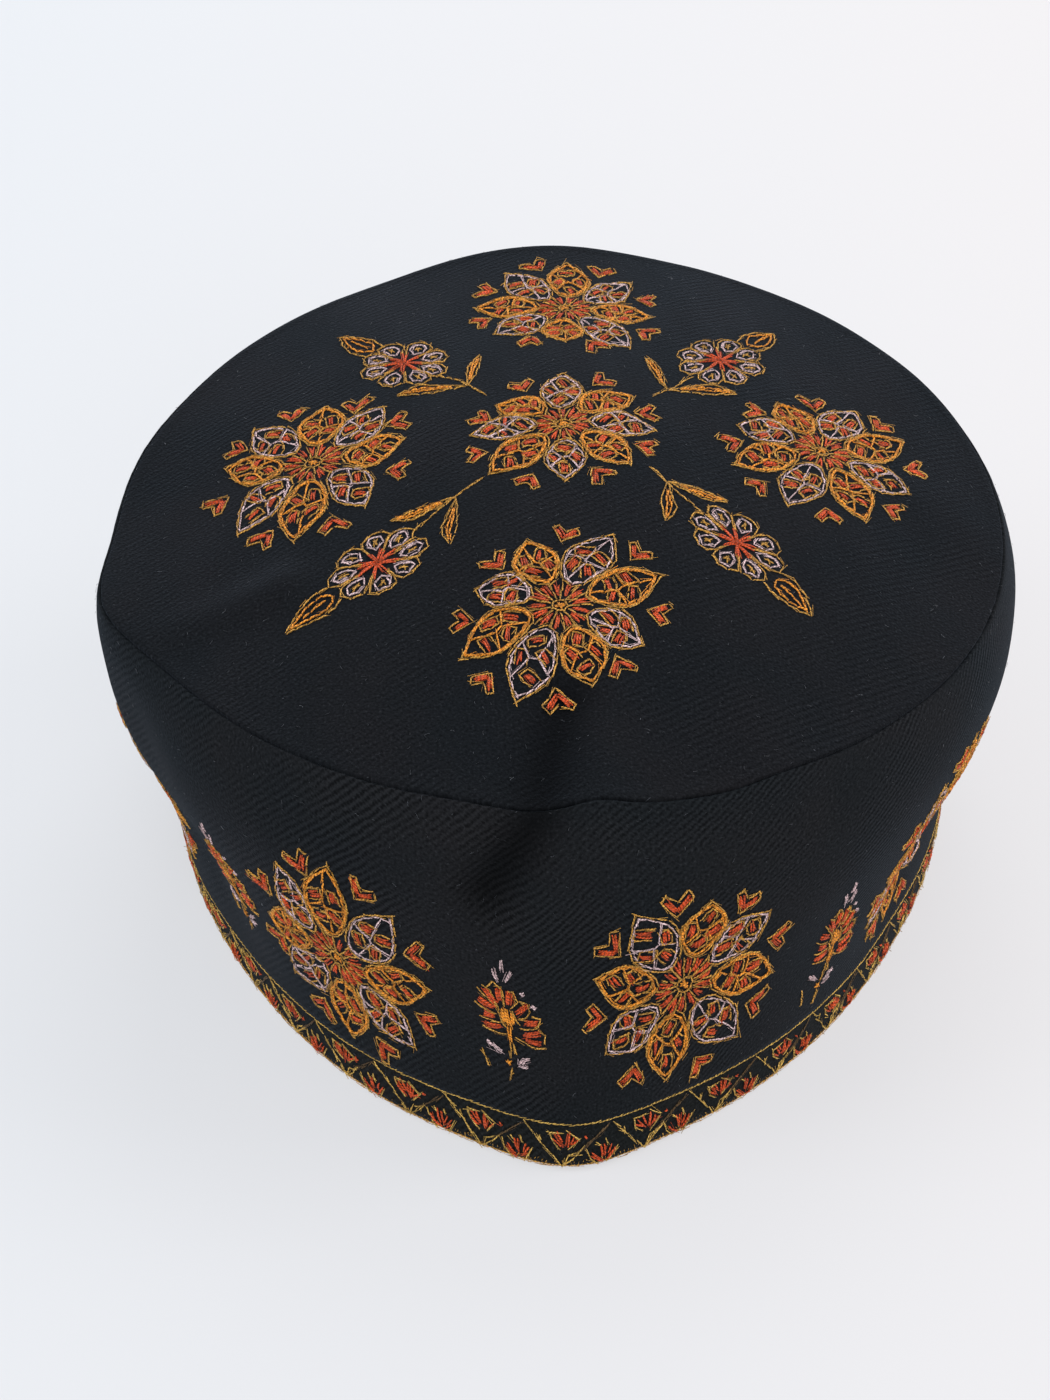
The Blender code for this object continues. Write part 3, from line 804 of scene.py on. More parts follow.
def stitch_tree():
    """Node tree that turns short lines into sewn thread that dips into the cloth at both ends."""
    tree = bpy.data.node_groups.new("sewn_thread", "GeometryNodeTree")
    for name, way, kind, value in (
            ("Lines", "INPUT", "Geometry", None), ("Points on each stitch", "INPUT", "Int", 5),
            ("Sides of the thread", "INPUT", "Int", 5), ("Thickness", "INPUT", "Float", 1.0),
            ("Waver", "INPUT", "Float", 0.00004), ("Seed", "INPUT", "Int", 5),
            ("Thread", "OUTPUT", "Geometry", None)):
        socket = tree.interface.new_socket(name, in_out=way, socket_type="NodeSocket" + kind)
        if value is not None:
            socket.default_value = value
    bench = Bench(tree)
    entry = bench.node("NodeGroupInput")
    given = {socket.name: Wire(bench, socket) for socket in entry.outputs if socket.name}

    def attribute(name, kind="FLOAT"):
        return bench.wire("GeometryNodeInputNamedAttribute", {"Name": name}, data_type=kind)

    def stored(geometry, name, value, kind):
        sockets = {"Geometry": geometry, "Name": name, "Value": value}
        return bench.wire("GeometryNodeStoreNamedAttribute", sockets, data_type=kind, domain="POINT")

    line = bench.wire("GeometryNodeMeshToCurve", {"Mesh": given["Lines"]})
    line = bench.wire("GeometryNodeResampleCurve", {"Curve": line, "Count": given["Points on each stitch"]},
                      mode="COUNT")
    share, length = (Wire(bench, socket) for socket in bench.node("GeometryNodeSplineParameter").outputs[:2])
    middle = share * 2.0 - 1.0
    rise = 1.0 - middle * middle * middle * middle
    half = attribute("half")
    height = half * (rise * 1.45 - 0.75) * attribute("arch")
    lift = bench.vector("SCALE", attribute("up", "FLOAT_VECTOR"), height, 3)
    wander = bench.wire("FunctionNodeRandomValue", {"Min": (-1.0, -1.0, -1.0), "Max": (1.0, 1.0, 1.0),
                                                    "Seed": given["Seed"]}, data_type="FLOAT_VECTOR")
    wander = bench.vector("SCALE", wander, given["Waver"], 3)
    offset = bench.vector("ADD", lift, wander)
    line = bench.wire("GeometryNodeSetPosition", {"Geometry": line, "Offset": offset})
    line = stored(line, "along", length, "FLOAT")
    sides = given["Sides of the thread"]
    circle = bench.wire("GeometryNodeCurvePrimitiveCircle", {"Resolution": sides, "Radius": 1.0})
    circle = stored(circle, "around", bench.wire("GeometryNodeInputPosition"), "FLOAT_VECTOR")
    shape = bench.wire("GeometryNodeCurveToMesh", {
        "Curve": line, "Profile Curve": circle, "Scale": half * given["Thickness"] * (rise * 0.3 + 0.7),
        "Fill Caps": True})
    for kind in ("GeometryNodeSetShadeSmooth", "GeometryNodeRealizeInstances"):
        shape = bench.wire(kind, {"Geometry": shape})
    number = attribute("thread", "INT")
    for index, name in enumerate(THREADS):
        chosen = bench.wire("FunctionNodeCompare", {2: number, 3: index}, data_type="INT", operation="EQUAL")
        shape = bench.wire("GeometryNodeSetMaterial", {"Geometry": shape, "Selection": chosen,
                                                       "Material": bpy.data.materials[name]})
    bench.node("NodeGroupOutput", {"Thread": shape})


# inputs of the thread's node tree for strands too fine to show their roundness
COARSE = {"Points on each stitch": 2, "Sides of the thread": 3}


class Skein:
    """Gathers the stitches of one piece and sews them all at once."""

    def __init__(self, name, seed):
        self.name = name
        self.rng = np.random.default_rng(seed)
        self.laid = []

    def sew(self, place, chart, loose=0.11, fine=1.0):
        """Lay charted stitches, rows of x, y, x, y and thread number, on a face; loose is in mm, and fine
        scales the thickness."""
        chart = np.array(chart, float)
        rng = self.rng
        ends = chart[:, :4].reshape(-1, 2) + rng.normal(0.0, loose, (len(chart) * 2, 2))
        points = place(ends)
        right = place(ends + (SLOPE_STEP, 0)) - place(ends - (SLOPE_STEP, 0))
        up = place(ends + (0, SLOPE_STEP)) - place(ends - (0, SLOPE_STEP))
        normals = np.cross(right, up)
        normals /= np.linalg.norm(normals, axis=1, keepdims=True)
        threads = chart[:, 4].astype(int)
        halves = HALVES[threads] * fine * rng.uniform(0.84, 1.16, len(chart))
        lifts = (halves * rng.uniform(0.0, 0.7, len(chart))).repeat(2)[:, None]
        points = points + normals * lifts
        self.lay(points.reshape(-1, 2, 3), normals.reshape(-1, 2, 3), threads, halves, 1.0)

    def lay(self, paths, ups, threads, halves, arch):
        """Keep lines of points in space, all of one count, with the way up at each point."""
        self.laid.append((paths, ups, threads, halves, np.full(len(paths), arch)))

    def fray(self, share):
        """A skein of the fine stray strands that stand off this one's stitches, for a share of them."""
        strays = Skein(self.name + "_strays", int(self.rng.integers(1000)))
        rng = strays.rng
        for path, up, thread, _, _ in self.laid:
            chosen = rng.random(len(path)) < share
            path, up, thread = path[chosen], up[chosen], thread[chosen]
            count = len(path)
            path, up = path[:, [0, -1]], up[:, [0, -1]]
            way = path[:, 1] - path[:, 0]
            aside = np.cross(way, up[:, 0])
            aside /= np.linalg.norm(aside, axis=1, keepdims=True) + 1e-9
            shifts = rng.normal(0.0, STRAY_AWAY, (count, 2, 1))
            lifts = rng.uniform(0.3, 1.0, (count, 2, 1)) * STRAY_LIFT
            slides = rng.normal(0.0, 0.12, (count, 2, 1))
            moved = path + aside[:, None] * shifts + up * lifts + way[:, None] * slides
            moved[..., 2] = np.maximum(moved[..., 2], STRAND_CLEAR)
            strays.lay(moved, up, thread, STRAY_HALF * rng.uniform(0.6, 1.4, count), 0.0)
        return strays

    def finish(self, settings, seed, **fineness):
        """Make the thread: a mesh of lines, the node tree on it, and its result as a plain mesh."""
        points, edges = [], []
        fields = {"up": [], "half": [], "arch": [], "shade": [], "thread": []}
        total = 0
        for path, up, thread, half, arch in self.laid:
            count, size = path.shape[:2]
            index = total + np.arange(count * size).reshape(count, size)
            edges.append(np.stack([index[:, :-1], index[:, 1:]], -1).reshape(-1, 2))
            points.append(path.reshape(-1, 3))
            fields["up"].append(up.reshape(-1, 3))
            for name, values in (("half", half), ("arch", arch), ("shade", self.rng.random(count)),
                                 ("thread", thread)):
                fields[name].append(values.repeat(size))
            total += count * size
        lines = bpy.data.meshes.new(self.name + "_lines")
        edges = np.concatenate(edges)
        lines.vertices.add(total)
        lines.vertices.foreach_set("co", np.concatenate(points).astype(np.float32).ravel())
        lines.edges.add(len(edges))
        lines.edges.foreach_set("vertices", edges.astype(np.int32).ravel())
        for name, values in fields.items():
            kind = {"up": "FLOAT_VECTOR", "thread": "INT"}.get(name, "FLOAT")
            values = np.concatenate(values).astype(np.int32 if kind == "INT" else np.float32)
            field = "vector" if name == "up" else "value"
            lines.attributes.new(name, kind, "POINT").data.foreach_set(field, values.ravel())
        lines.update()
        piece = add_object(self.name, lines)
        modifier = piece.modifiers.new("sewn_thread", "NODES")
        modifier.node_group = bpy.data.node_groups["sewn_thread"]
        inputs = {"Thickness": settings.thickness, "Waver": settings.waver, "Seed": seed, **fineness}
        for socket in modifier.node_group.interface.items_tree:
            if socket.in_out == "INPUT" and socket.name in inputs:
                modifier[socket.identifier] = inputs[socket.name]
        graph = bpy.context.evaluated_depsgraph_get()
        sewn_mesh = bpy.data.meshes.new_from_object(
            piece.evaluated_get(graph), preserve_all_data_layers=True, depsgraph=graph)
        piece.modifiers.clear()
        piece.data = sewn_mesh
        sewn_mesh.name = self.name
        bpy.data.meshes.remove(lines)
        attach(piece, "root")

    def finish_frayed(self, settings, seed=1, **fineness):
        """Make the thread, and its stray strands as a finer piece of their own."""
        strays = self.fray(settings.strays)
        self.finish(settings, seed, **fineness)
        strays.finish(settings, seed + 1, **COARSE)


def run(points, thread, stitch):
    """Backstitches of about this length along a line of points, all in mm."""
    points = np.array(points, float)
    lengths = run_lengths(points)
    count = max(1, round(lengths[-1] / stitch))
    marks = np.linspace(0, lengths[-1], count + 1)
    x, y = np.interp(marks, lengths, points[:, 0]), np.interp(marks, lengths, points[:, 1])
    return [(x[i], y[i], x[i + 1], y[i + 1], thread) for i in range(count)]


def turned(points, middle, angle, size=1.0):
    """Points scaled, turned and moved, all in mm."""
    points = np.array(points, float) * size
    cosine, sine = math.cos(angle), math.sin(angle)
    x = points[:, 0] * cosine - points[:, 1] * sine + middle[0]
    y = points[:, 0] * sine + points[:, 1] * cosine + middle[1]
    return np.stack([x, y], -1)


def satin(ends, asides, thread, rng):
    """Stitches side by side between two points, each set aside in mm."""
    first, last = np.array(ends, float)
    way = last - first
    across = np.array((-way[1], way[0])) / np.linalg.norm(way)
    return [(*(first + way * rng.uniform(0.0, 0.12) + across * aside * 0.7),
             *(last - way * rng.uniform(0.0, 0.12) + across * aside), thread) for aside in asides]


def strokes(chart):
    """The thread and the points of each stroke of a chart, in order."""
    for _, thread, group in chart:
        for stroke in group:
            yield thread, np.reshape(stroke, (-1, 2))


def ridge_reach(turn):
    """How far a petal's inner ring lies from the petal's middle, in shares of its reach, at a turn."""
    sides = [(out, side * wide) for side in (1, -1) for out, wide in PETAL_RIDGE]
    turns = np.array([math.atan2(wide, out - PETAL_MIDDLE) for out, wide in sides])
    reaches = np.array([math.hypot(wide, out - PETAL_MIDDLE) for out, wide in sides])
    order = np.argsort(turns)
    return np.interp(turn, turns[order], reaches[order], period=2 * math.pi)


def petal_veins(rng):
    """Lines of a petal's veins, and the middle of each cell between them, in shares of its reach."""
    first = rng.uniform(-0.3, 0.3) + (0.0 if rng.random() < CROSS_SHARE else math.pi / 4)
    apart = rng.uniform(0.02, 0.05)
    turns = [first + math.pi / 2 * number + rng.uniform(-0.15, 0.15) for number in range(4)]
    lean = first + math.pi / 4
    knots = [(PETAL_MIDDLE + way * apart * math.cos(lean), way * apart * math.sin(lean)) for way in (1, -1)]
    lines = [knots]
    for number, turn in enumerate(turns):
        reach = ridge_reach(turn) * 0.97
        end = (PETAL_MIDDLE + reach * math.cos(turn), reach * math.sin(turn))
        lines.append((knots[number // 2], end))
    cells = []
    for number, turn in enumerate(turns):
        after = turns[(number + 1) % 4] + (2 * math.pi if number == 3 else 0)
        between = (turn + after) / 2
        reach = ridge_reach(between) * 0.56
        cells.append((PETAL_MIDDLE + reach * math.cos(between), reach * math.sin(between)))
    return lines, cells


def rosette_heart(mean, rng):
    """Chart of a rosette's middle: a gold knot in a thin ring, then spokes with red strokes between them."""
    rows = []

    def polar(turn, reach):
        return (reach * mean * math.cos(turn), reach * mean * math.sin(turn))

    for turn in rng.uniform(0, math.pi, 5):
        x, y = polar(turn, 0.045)
        rows.append((-x, -y, x, y, GOLD))
    ring = [polar(2 * math.pi * number / 8, rng.uniform(0.075, 0.09)) for number in range(9)]
    rows += run(ring, OLD_GOLD, STITCHES["ring"])
    gaps = int(rng.integers(12, 15))
    for number in range(gaps):
        turn = 2 * math.pi * (number + rng.uniform(-0.12, 0.12)) / gaps
        spoke = (polar(turn, 0.085), polar(turn, rng.uniform(0.28, 0.33)))
        rows += run(spoke, OLD_GOLD, STITCHES["spoke"])
        for side in (0.36, 0.64):
            start = 2 * math.pi * (number + 0.5 + (side - 0.5) * 0.6) / gaps
            end = 2 * math.pi * (number + side + rng.uniform(-0.05, 0.05)) / gaps
            rows.append((*polar(start, rng.uniform(0.12, 0.15)), *polar(end, rng.uniform(0.25, 0.30)), RED))
    return rows


def rosette(petals, lavender_first, rng):
    """Chart of one rosette round its middle."""
    angles, reaches, kinds = zip(*sorted(
        (math.radians(turn), reach, LAVENDER if (number % 2 == 0) == lavender_first else GOLD)
        for number, (turn, reach) in enumerate(petals)))
    mean = sum(reaches) / len(reaches)
    count = len(angles)
    rows = rosette_heart(mean, rng)
    even = 2 * math.pi / count
    offsets = np.array([angle - even * number for number, angle in enumerate(angles)])
    phase = math.atan2(np.sin(offsets).sum(), np.cos(offsets).sum())
    for number in range(count):
        angle, reach, kind = phase + even * number, reaches[number], kinds[number]
        lean = math.remainder(angles[number] - angle, 2 * math.pi)
        cosine, sine = math.cos(angle), math.sin(angle)
        tip_out, tip_side = reach * math.cos(lean), reach * math.sin(lean)
        plump = rng.uniform(0.92, 1.0)

        def spot(out, side):
            """Place of a petal's point, given in shares of its reach; the petal leans over to its tip."""
            bent = max(0.0, (out - LEAN_FROM) / (1 - LEAN_FROM))
            away = mean * out + (tip_out - mean) * bent
            across = side * mean * plump + tip_side * bent ** 1.6
            return (away * cosine - across * sine, away * sine + across * cosine)

        tail = 1 if rng.random() < 0.5 else -1
        for side in (1, -1):
            edge = [spot(out, side * wide) for out, wide in PETAL_EDGE]
            if side == tail:
                edge[-1] = spot(1 + TIP_TAIL, -side * TIP_TAIL)
            rows += run(edge, OLD_GOLD, STITCHES["outline"])
            ridge = [spot(out, side * wide) for out, wide in PETAL_RIDGE]
            rows += run(ridge, kind, STITCHES["ridge"])
            if kind == GOLD:
                ridge = [spot(out, side * wide * 1.08) for out, wide in PETAL_RIDGE]
                rows += run(ridge, kind, STITCHES["outer ridge"])
        lines, cells = petal_veins(rng)
        for line in lines:
            rows += run([spot(out, wide) for out, wide in line], kind, STITCHES["vein"])
        for out, wide in cells:
            place = spot(out, wide)
            turn = rng.uniform(0, math.pi)
            long, short = rng.uniform(1.6, 2.05), rng.uniform(1.1, 1.35)
            box = ((-long, -short), (long * 0.8, -short), (long, short), (-long * 0.9, short * 0.9))
            box = turned(box + box[:int(rng.integers(0, 2))], place, turn)
            rows += run(box, OLD_GOLD, STITCHES["cell"])
            for aside in CELL_STROKES[int(rng.integers(0, 2)):]:
                near, far = -long * rng.uniform(0.5, 0.85), long * rng.uniform(0.5, 0.85)
                ends = turned(((near, aside), (far, aside * 0.7)), place, turn)
                rows += run(ends, RED, STITCHES["stroke"])
        following = angles[(number + 1) % count]
        gap = angles[number] + ((following - angles[number]) % (2 * math.pi)) / 2
        outer = BUD_REACH * (reach + reaches[(number + 1) % count]) / 2
        middle = (outer * math.cos(gap), outer * math.sin(gap))
        lean = gap - math.pi / 2 + rng.uniform(-0.45, 0.45)
        size = mean * rng.uniform(0.85, 1.05)
        corners = turned(BUD_EDGE + BUD_EDGE[:1], middle, lean, size)
        for side in zip(corners[:-1], corners[1:]):
            rows += run(side, OLD_GOLD, STITCHES["bud"])
        for arm in BUD_ARMS:
            rows += satin(turned(arm, middle, lean, size), BUD_STROKES, RED, rng)
    return rows


def spray(flower, tip, stem, size, fork, leaves, rng):
    """Chart of one spray: a small flower with a bud on one side, and a stem with two leaves on the other."""
    rows = []
    flower, tip, stem = np.array(flower), np.array(tip), np.array(stem)
    reach = np.linalg.norm(tip - flower)
    lean = math.atan2(tip[1] - flower[1], tip[0] - flower[0])

    def petal(points, angle):
        return turned(turned(points, (0.0, 0.0), angle) * size, flower, lean)

    for number in range(8):
        angle = 2 * math.pi * (number + 0.5) / 8 + rng.uniform(-0.08, 0.08)
        for thread, stitch, points in SPRAY_PETAL:
            rows += run(petal(points, angle), thread, stitch)
        ray = 2 * math.pi * number / 8 + rng.uniform(-0.1, 0.1)
        far = rng.uniform(3.9, 4.9)
        for points in (((0.2, 0.05), (far, 0.2)), ((0.3, -0.2), (far * 0.8, -0.4))):
            rows += run(petal(points, ray), RED, 5.0)
    edge_start = 9.0 * size[0]
    for side in (1, -1):
        edge = ((edge_start, 2.3 * side), (13.0, 3.2 * side), (17.2, 2.2 * side), (reach, 0.0))
        rows += run(turned(edge, flower, lean), OLD_GOLD, 2.1)
        ridge = ((edge_start + 0.8, 0.0), (12.4, 2.1 * side), (16.4, 1.5 * side), (reach - 1.2, 0.0))
        rows += run(turned(ridge, flower, lean), GOLD, 1.9)
    rows += run(turned(((12.2, -0.2), (17.8, 0.0)), flower, lean), GOLD, 2.2)
    away = np.linalg.norm(stem - flower)
    turn = math.atan2(stem[1] - flower[1], stem[0] - flower[0])
    rows += run(turned(((away, 0.0), (fork, 0.3)), flower, turn), OLD_GOLD, 2.0)
    rows += run(turned(((fork, 0.3), (14.5, 0.5), (9.4, 0.2)), flower, turn), OLD_GOLD, 2.1)
    for ahead, aside, broad in leaves:
        inner = broad * np.sign(aside)
        start = np.array((fork, 0.2 * inner))
        length = math.hypot(ahead - fork, aside - start[1])
        heading = math.atan2(aside - start[1], ahead - fork)
        strands = [(((0.0, 0.0), (length * 0.70, 1.9 * inner), (length, 0.2 * inner)), OLD_GOLD, 2.4),
                   (((0.0, 0.0), (length * 0.5, -0.8 * inner), (length, 0.0)), OLD_GOLD, 2.4)]
        for wide in (0.9 * inner, 0.2 * inner):
            strands.append((((length * 0.2, wide * 0.2), (length * 0.66, wide), (length * 0.92, wide * 0.4)),
                            GOLD, 1.8))
        for points, thread, stitch in strands:
            rows += run(turned(turned(points, start, heading), flower, turn), thread, stitch)
    return rows


def sprig(wide, high, rng):
    """Chart of one sprig; its red petals are filled with stitches side by side."""
    rows = []
    for thread, points in strokes(SPRIG):
        points = points * (wide, high)
        if thread == RED:
            rows += satin(points, SPRIG_PETAL_STROKES, RED, rng)
        elif thread == LAVENDER:
            rows += satin(points, SPRIG_LEAF_STROKES, LAVENDER, rng)
        else:
            rows += run(points, thread, 4.2 if thread == GOLD else 2.1)
    return rows


def colour(label, use, value):
    """A colour that a user may change."""
    return FloatVectorProperty(name=label, description="Colour of the " + use, subtype="COLOR",
                               default=value, min=0.0, max=1.0)


class CapSettings(bpy.types.PropertyGroup):
    """Sizes and colours that a user may change before the tools run."""

    thickness: FloatProperty(name="Thread thickness", default=1.0, min=0.3, max=2.0, subtype="FACTOR",
                             description="Thickness of every thread against the charted one")
    waver: FloatProperty(name="Waver", description="How far a thread wanders from a straight line",
                         default=0.00004, min=0.0, max=0.001, precision=5, unit="LENGTH")
    fibres: IntProperty(name="Loose fibres", description="How many loose fibres lie on the cloth",
                        default=1700, min=0)
    strays: FloatProperty(name="Stray strands", description="Share of the stitches with a stray strand",
                          default=1.0, min=0.0, max=1.0, subtype="FACTOR")
    # the crown's wool is coloured darker than the band's, as painted shade on the top of the cap
    crown: colour("Crown wool", "crown panel", (0.0067, 0.0073, 0.0085))
    band: colour("Band wool", "side band", (0.0092, 0.0101, 0.0114))
    border: colour("Border wool", "border strip", (0.0091, 0.0098, 0.0098))
    gold: colour("Gold silk", "bright gold thread", (0.88, 0.325, 0.026))
    old_gold: colour("Old gold silk", "thin outline thread", (0.70, 0.36, 0.060))
    red: colour("Red silk", "brick-red thread", (0.66, 0.080, 0.012))
    lavender: colour("Lavender silk", "pale lavender thread", (0.80, 0.58, 0.59))
    olive: colour("Olive gold silk", "border's thin gold thread", (0.74, 0.46, 0.10))
    brown: colour("Brown silk", "faint thread in the border", (0.15, 0.085, 0.03))
    lint: colour("Lint", "loose fibres", (0.11, 0.12, 0.14))
    floor: colour("Floor", "pale floor", (0.20, 0.20, 0.20))
    glow: FloatProperty(name="Floor glow", description="Light that the floor gives off itself",
                        default=0.575, min=0.0)


class CAP_OT_threads(bpy.types.Operator):
    """Mix the silk threads and set up the tree that sews them"""
    bl_idname = "cap.threads"
    bl_label = "Prepare threads"

    def execute(self, context):
        settings = context.scene.cap_settings
        for name in THREADS:
            silk_thread(name, getattr(settings, name))
        stitch_tree()
        return {"FINISHED"}


class CAP_OT_panels(bpy.types.Operator):
    """Sew the crown, the side band and the border strip from wool twill"""
    bl_idname = "cap.panels"
    bl_label = "Sew cloth panels"

    def execute(self, context):
        settings = context.scene.cap_settings
        # each weave: slant of the ribs in degrees, how strongly they show, bloom, spacing of the ribs in mm
        for sew, part, weave, node, slot in (
                (sew_crown_panel, "crown", (31.0, 0.40, 0.085, 1.4), "crown_top", "crown_wool"),
                (sew_band_panel, "band", (40.0, 0.85, 0.05, 1.2), "side_band", "band_wool"),
                (sew_border_strip, "border", (40.0, 0.5, 0.04, 1.2), "rim_border", "border_wool")):
            panel = sew(wool_twill(slot + "_twill", getattr(settings, part), *weave))
            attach(panel, "root")
            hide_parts(node)
        return {"FINISHED"}


class CAP_OT_crown_flowers(bpy.types.Operator):
    """Embroider the crown's five rosettes and four sprays"""
    bl_idname = "cap.crown_flowers"
    bl_label = "Embroider crown"

    def execute(self, context):
        settings = context.scene.cap_settings
        rosettes = Skein("crown_rosettes", 11)
        for _, middle, lavender_first, petals in CROWN_ROSETTES:
            chart = np.array(rosette(petals, lavender_first, rosettes.rng))
            chart[:, :4] += middle + middle
            rosettes.sew(crown_place, chart)
        rosettes.finish_frayed(settings)
        sprays = Skein("crown_sprays", 12)
        for _, *shape in CROWN_SPRAYS:
            sprays.sew(crown_place, spray(*shape, sprays.rng))
        sprays.finish_frayed(settings)
        return {"FINISHED"}


class CAP_OT_band_flowers(bpy.types.Operator):
    """Embroider the band's rosettes and the sprigs between them"""
    bl_idname = "cap.band_flowers"
    bl_label = "Embroider band"

    def execute(self, context):
        settings = context.scene.cap_settings
        half = len(BAND_ROSETTES) // 2
        for name, seed, flowers in (("band_rosettes_front", 21, BAND_ROSETTES[:half]),
                                    ("band_rosettes_back", 22, BAND_ROSETTES[half:])):
            rosettes = Skein(name, seed)
            for _, angle, share, lavender_first, petals in flowers:
                rosettes.sew(band_place(angle, share), rosette(petals, lavender_first, rosettes.rng))
            rosettes.finish_frayed(settings)
        sprigs = Skein("band_sprigs", 23)
        for _, angle, share, wide, high in BAND_SPRIGS:
            sprigs.sew(band_place(angle, share), sprig(wide, high, sprigs.rng), 0.06)
        sprigs.finish_frayed(settings)
        return {"FINISHED"}


class CAP_OT_border(bpy.types.Operator):
    """Embroider the border, with its line of stem stitches above and the oversewn rim below"""
    bl_idname = "cap.border"
    bl_label = "Embroider border"

    def execute(self, context):
        settings = context.scene.cap_settings
        around = RIM_LENGTHS[-1] / MM
        repeats = round(around / BORDER_REPEAT)
        stretch = around / repeats / BORDER_REPEAT
        border = Skein("border_embroidery", 31)
        chart = []
        for number in range(repeats):
            for thread, points in strokes(BORDER_UNIT):
                chart += run(points * (stretch, 1.0) + (number * stretch * BORDER_REPEAT, 0.0), thread, 2.5)
        border.sew(border_place, chart, 0.13, 0.95)
        border.finish_frayed(settings)
        line = Skein("border_line", 32)
        count = round(around / LINE_SPACING)
        starts = np.arange(count) * around / count
        low, high = BORDER_HEIGHT / MM - 0.13, BORDER_HEIGHT / MM + 0.13
        line.sew(border_place, [(x, low, x + 1.9, high, OLIVE) for x in starts], 0.05, 0.72)
        line.finish(settings, 32)
        self.oversew(settings)
        return {"FINISHED"}

    def rolled(self, lengths, turns, away):
        """Points off the rim's rolled edge, at lengths along it and turns round it, and the way up."""
        angle = np.interp(lengths % RIM_LENGTHS[-1], RIM_LENGTHS, RIM_TABLE)
        centre, outward = roll_centres(angle)
        way = outward * np.cos(turns)[:, None] + np.array((0, 0, 1)) * np.sin(turns)[:, None]
        return centre + way * (BORDER_CLOTH / 2 + away), way

    def oversew(self, settings):
        """Slanting stitches wrapped round the rim's rolled edge, and a line of long stitches over them."""
        rim = Skein("rim_oversewing", 33)
        around = RIM_LENGTHS[-1]
        count = round(around / RIM_SPACING)
        turns = np.radians(RIM_TURNS)
        starts = (np.arange(count) + rim.rng.uniform(-0.25, 0.25, count)) * around / count
        slants = rim.rng.uniform(0.0006, 0.0014, count)
        reaches = rim.rng.uniform(0.85, 1.1, count)
        half = HALVES[OLD_GOLD] * 0.8
        paths = []
        for share, turn in zip(np.linspace(0, 1, len(turns)), turns):
            bent = -math.pi / 2 + (turn + math.pi / 2) * reaches
            away = half * (0.9 if 0 < share < 1 else -0.6)
            paths.append(self.rolled(starts + slants * share, bent, away))
        points, ups = np.moveaxis(np.array(paths), 0, 2)
        halves = half * rim.rng.uniform(0.8, 1.15, count)
        rim.lay(points, ups, np.full(count, OLD_GOLD), halves, 0.0)
        count = round(around / RIM_LINE_SPACING)
        starts = np.arange(count) * around / count
        edge = [self.rolled(starts + ahead, np.radians(np.full(count, turn)), half * 0.6)
                for ahead, turn in RIM_LINE]
        points, ups = np.moveaxis(np.array(edge), 0, 2)
        rim.lay(points, ups, np.full(count, OLD_GOLD), half * rim.rng.uniform(0.8, 1.1, count), 0.0)
        rim.finish_frayed(settings, 33, **{"Points on each stitch": 6})


class CAP_OT_fibres(bpy.types.Operator):
    """Scatter fine loose fibres and a few specks of lint over the wool"""
    bl_idname = "cap.fibres"
    bl_label = "Scatter fibres"

    def execute(self, context):
        settings = context.scene.cap_settings
        lint = Skein("loose_fibres", 41)
        rng = lint.rng
        count = settings.fibres
        on_crown = count * 2 // 5
        on_band = count - on_crown
        crown_angles = rng.uniform(-math.pi, math.pi, on_crown)
        crown_radii = np.sqrt(rng.uniform(0, 1, on_crown))
        band_angles = rng.uniform(-math.pi, math.pi, on_band)
        band_shares = rng.uniform(0, 1, on_band)
        headings = rng.uniform(0, 2 * math.pi, count)
        lengths = rng.uniform(0.0003, 0.0011, count)
        halves = HALVES[LINT] * rng.uniform(0.6, 1.5, count)
        specks = np.arange(count) % 110 == 0
        lengths[specks] = 0.0005
        halves[specks] = rng.uniform(0.00008, 0.00015, specks.sum())
        bends = rng.uniform(-0.9, 0.9, count)
        lifts = rng.uniform(0.0001, 0.0003, (count, 1))
        paths = []
        for step in (-0.5, 0.0, 0.5):
            way = headings + bends * step
            ahead, aside = np.cos(way) * lengths * step, np.sin(way) * lengths * step
            radii = np.clip(crown_radii + aside[:on_crown] / SEAM_HALF_WIDTH, 0.02, 1.0)
            angles = crown_angles + ahead[:on_crown] / (SEAM_HALF_WIDTH * radii)
            crown = crown_face(angles, radii)
            shares = np.clip(band_shares + aside[on_crown:] / SEAM_HEIGHT, 0.02, 1.0)
            band = band_face(band_angles + ahead[on_crown:] / SEAM_HALF_WIDTH, shares)
            paths.append(np.concatenate((crown, band)))
        ups = np.concatenate((-slope_normal(plain_crown, crown_angles, np.maximum(crown_radii, 0.02)),
                              slope_normal(plain_band, band_angles, band_shares)))
        paths = np.stack(paths, 1) + (ups * lifts)[:, None]
        lint.lay(paths, np.repeat(ups[:, None], 3, 1), np.full(count, LINT), halves, 0.0)
        lint.finish(settings, 41, **{"Points on each stitch": 4, "Sides of the thread": 3})
        return {"FINISHED"}


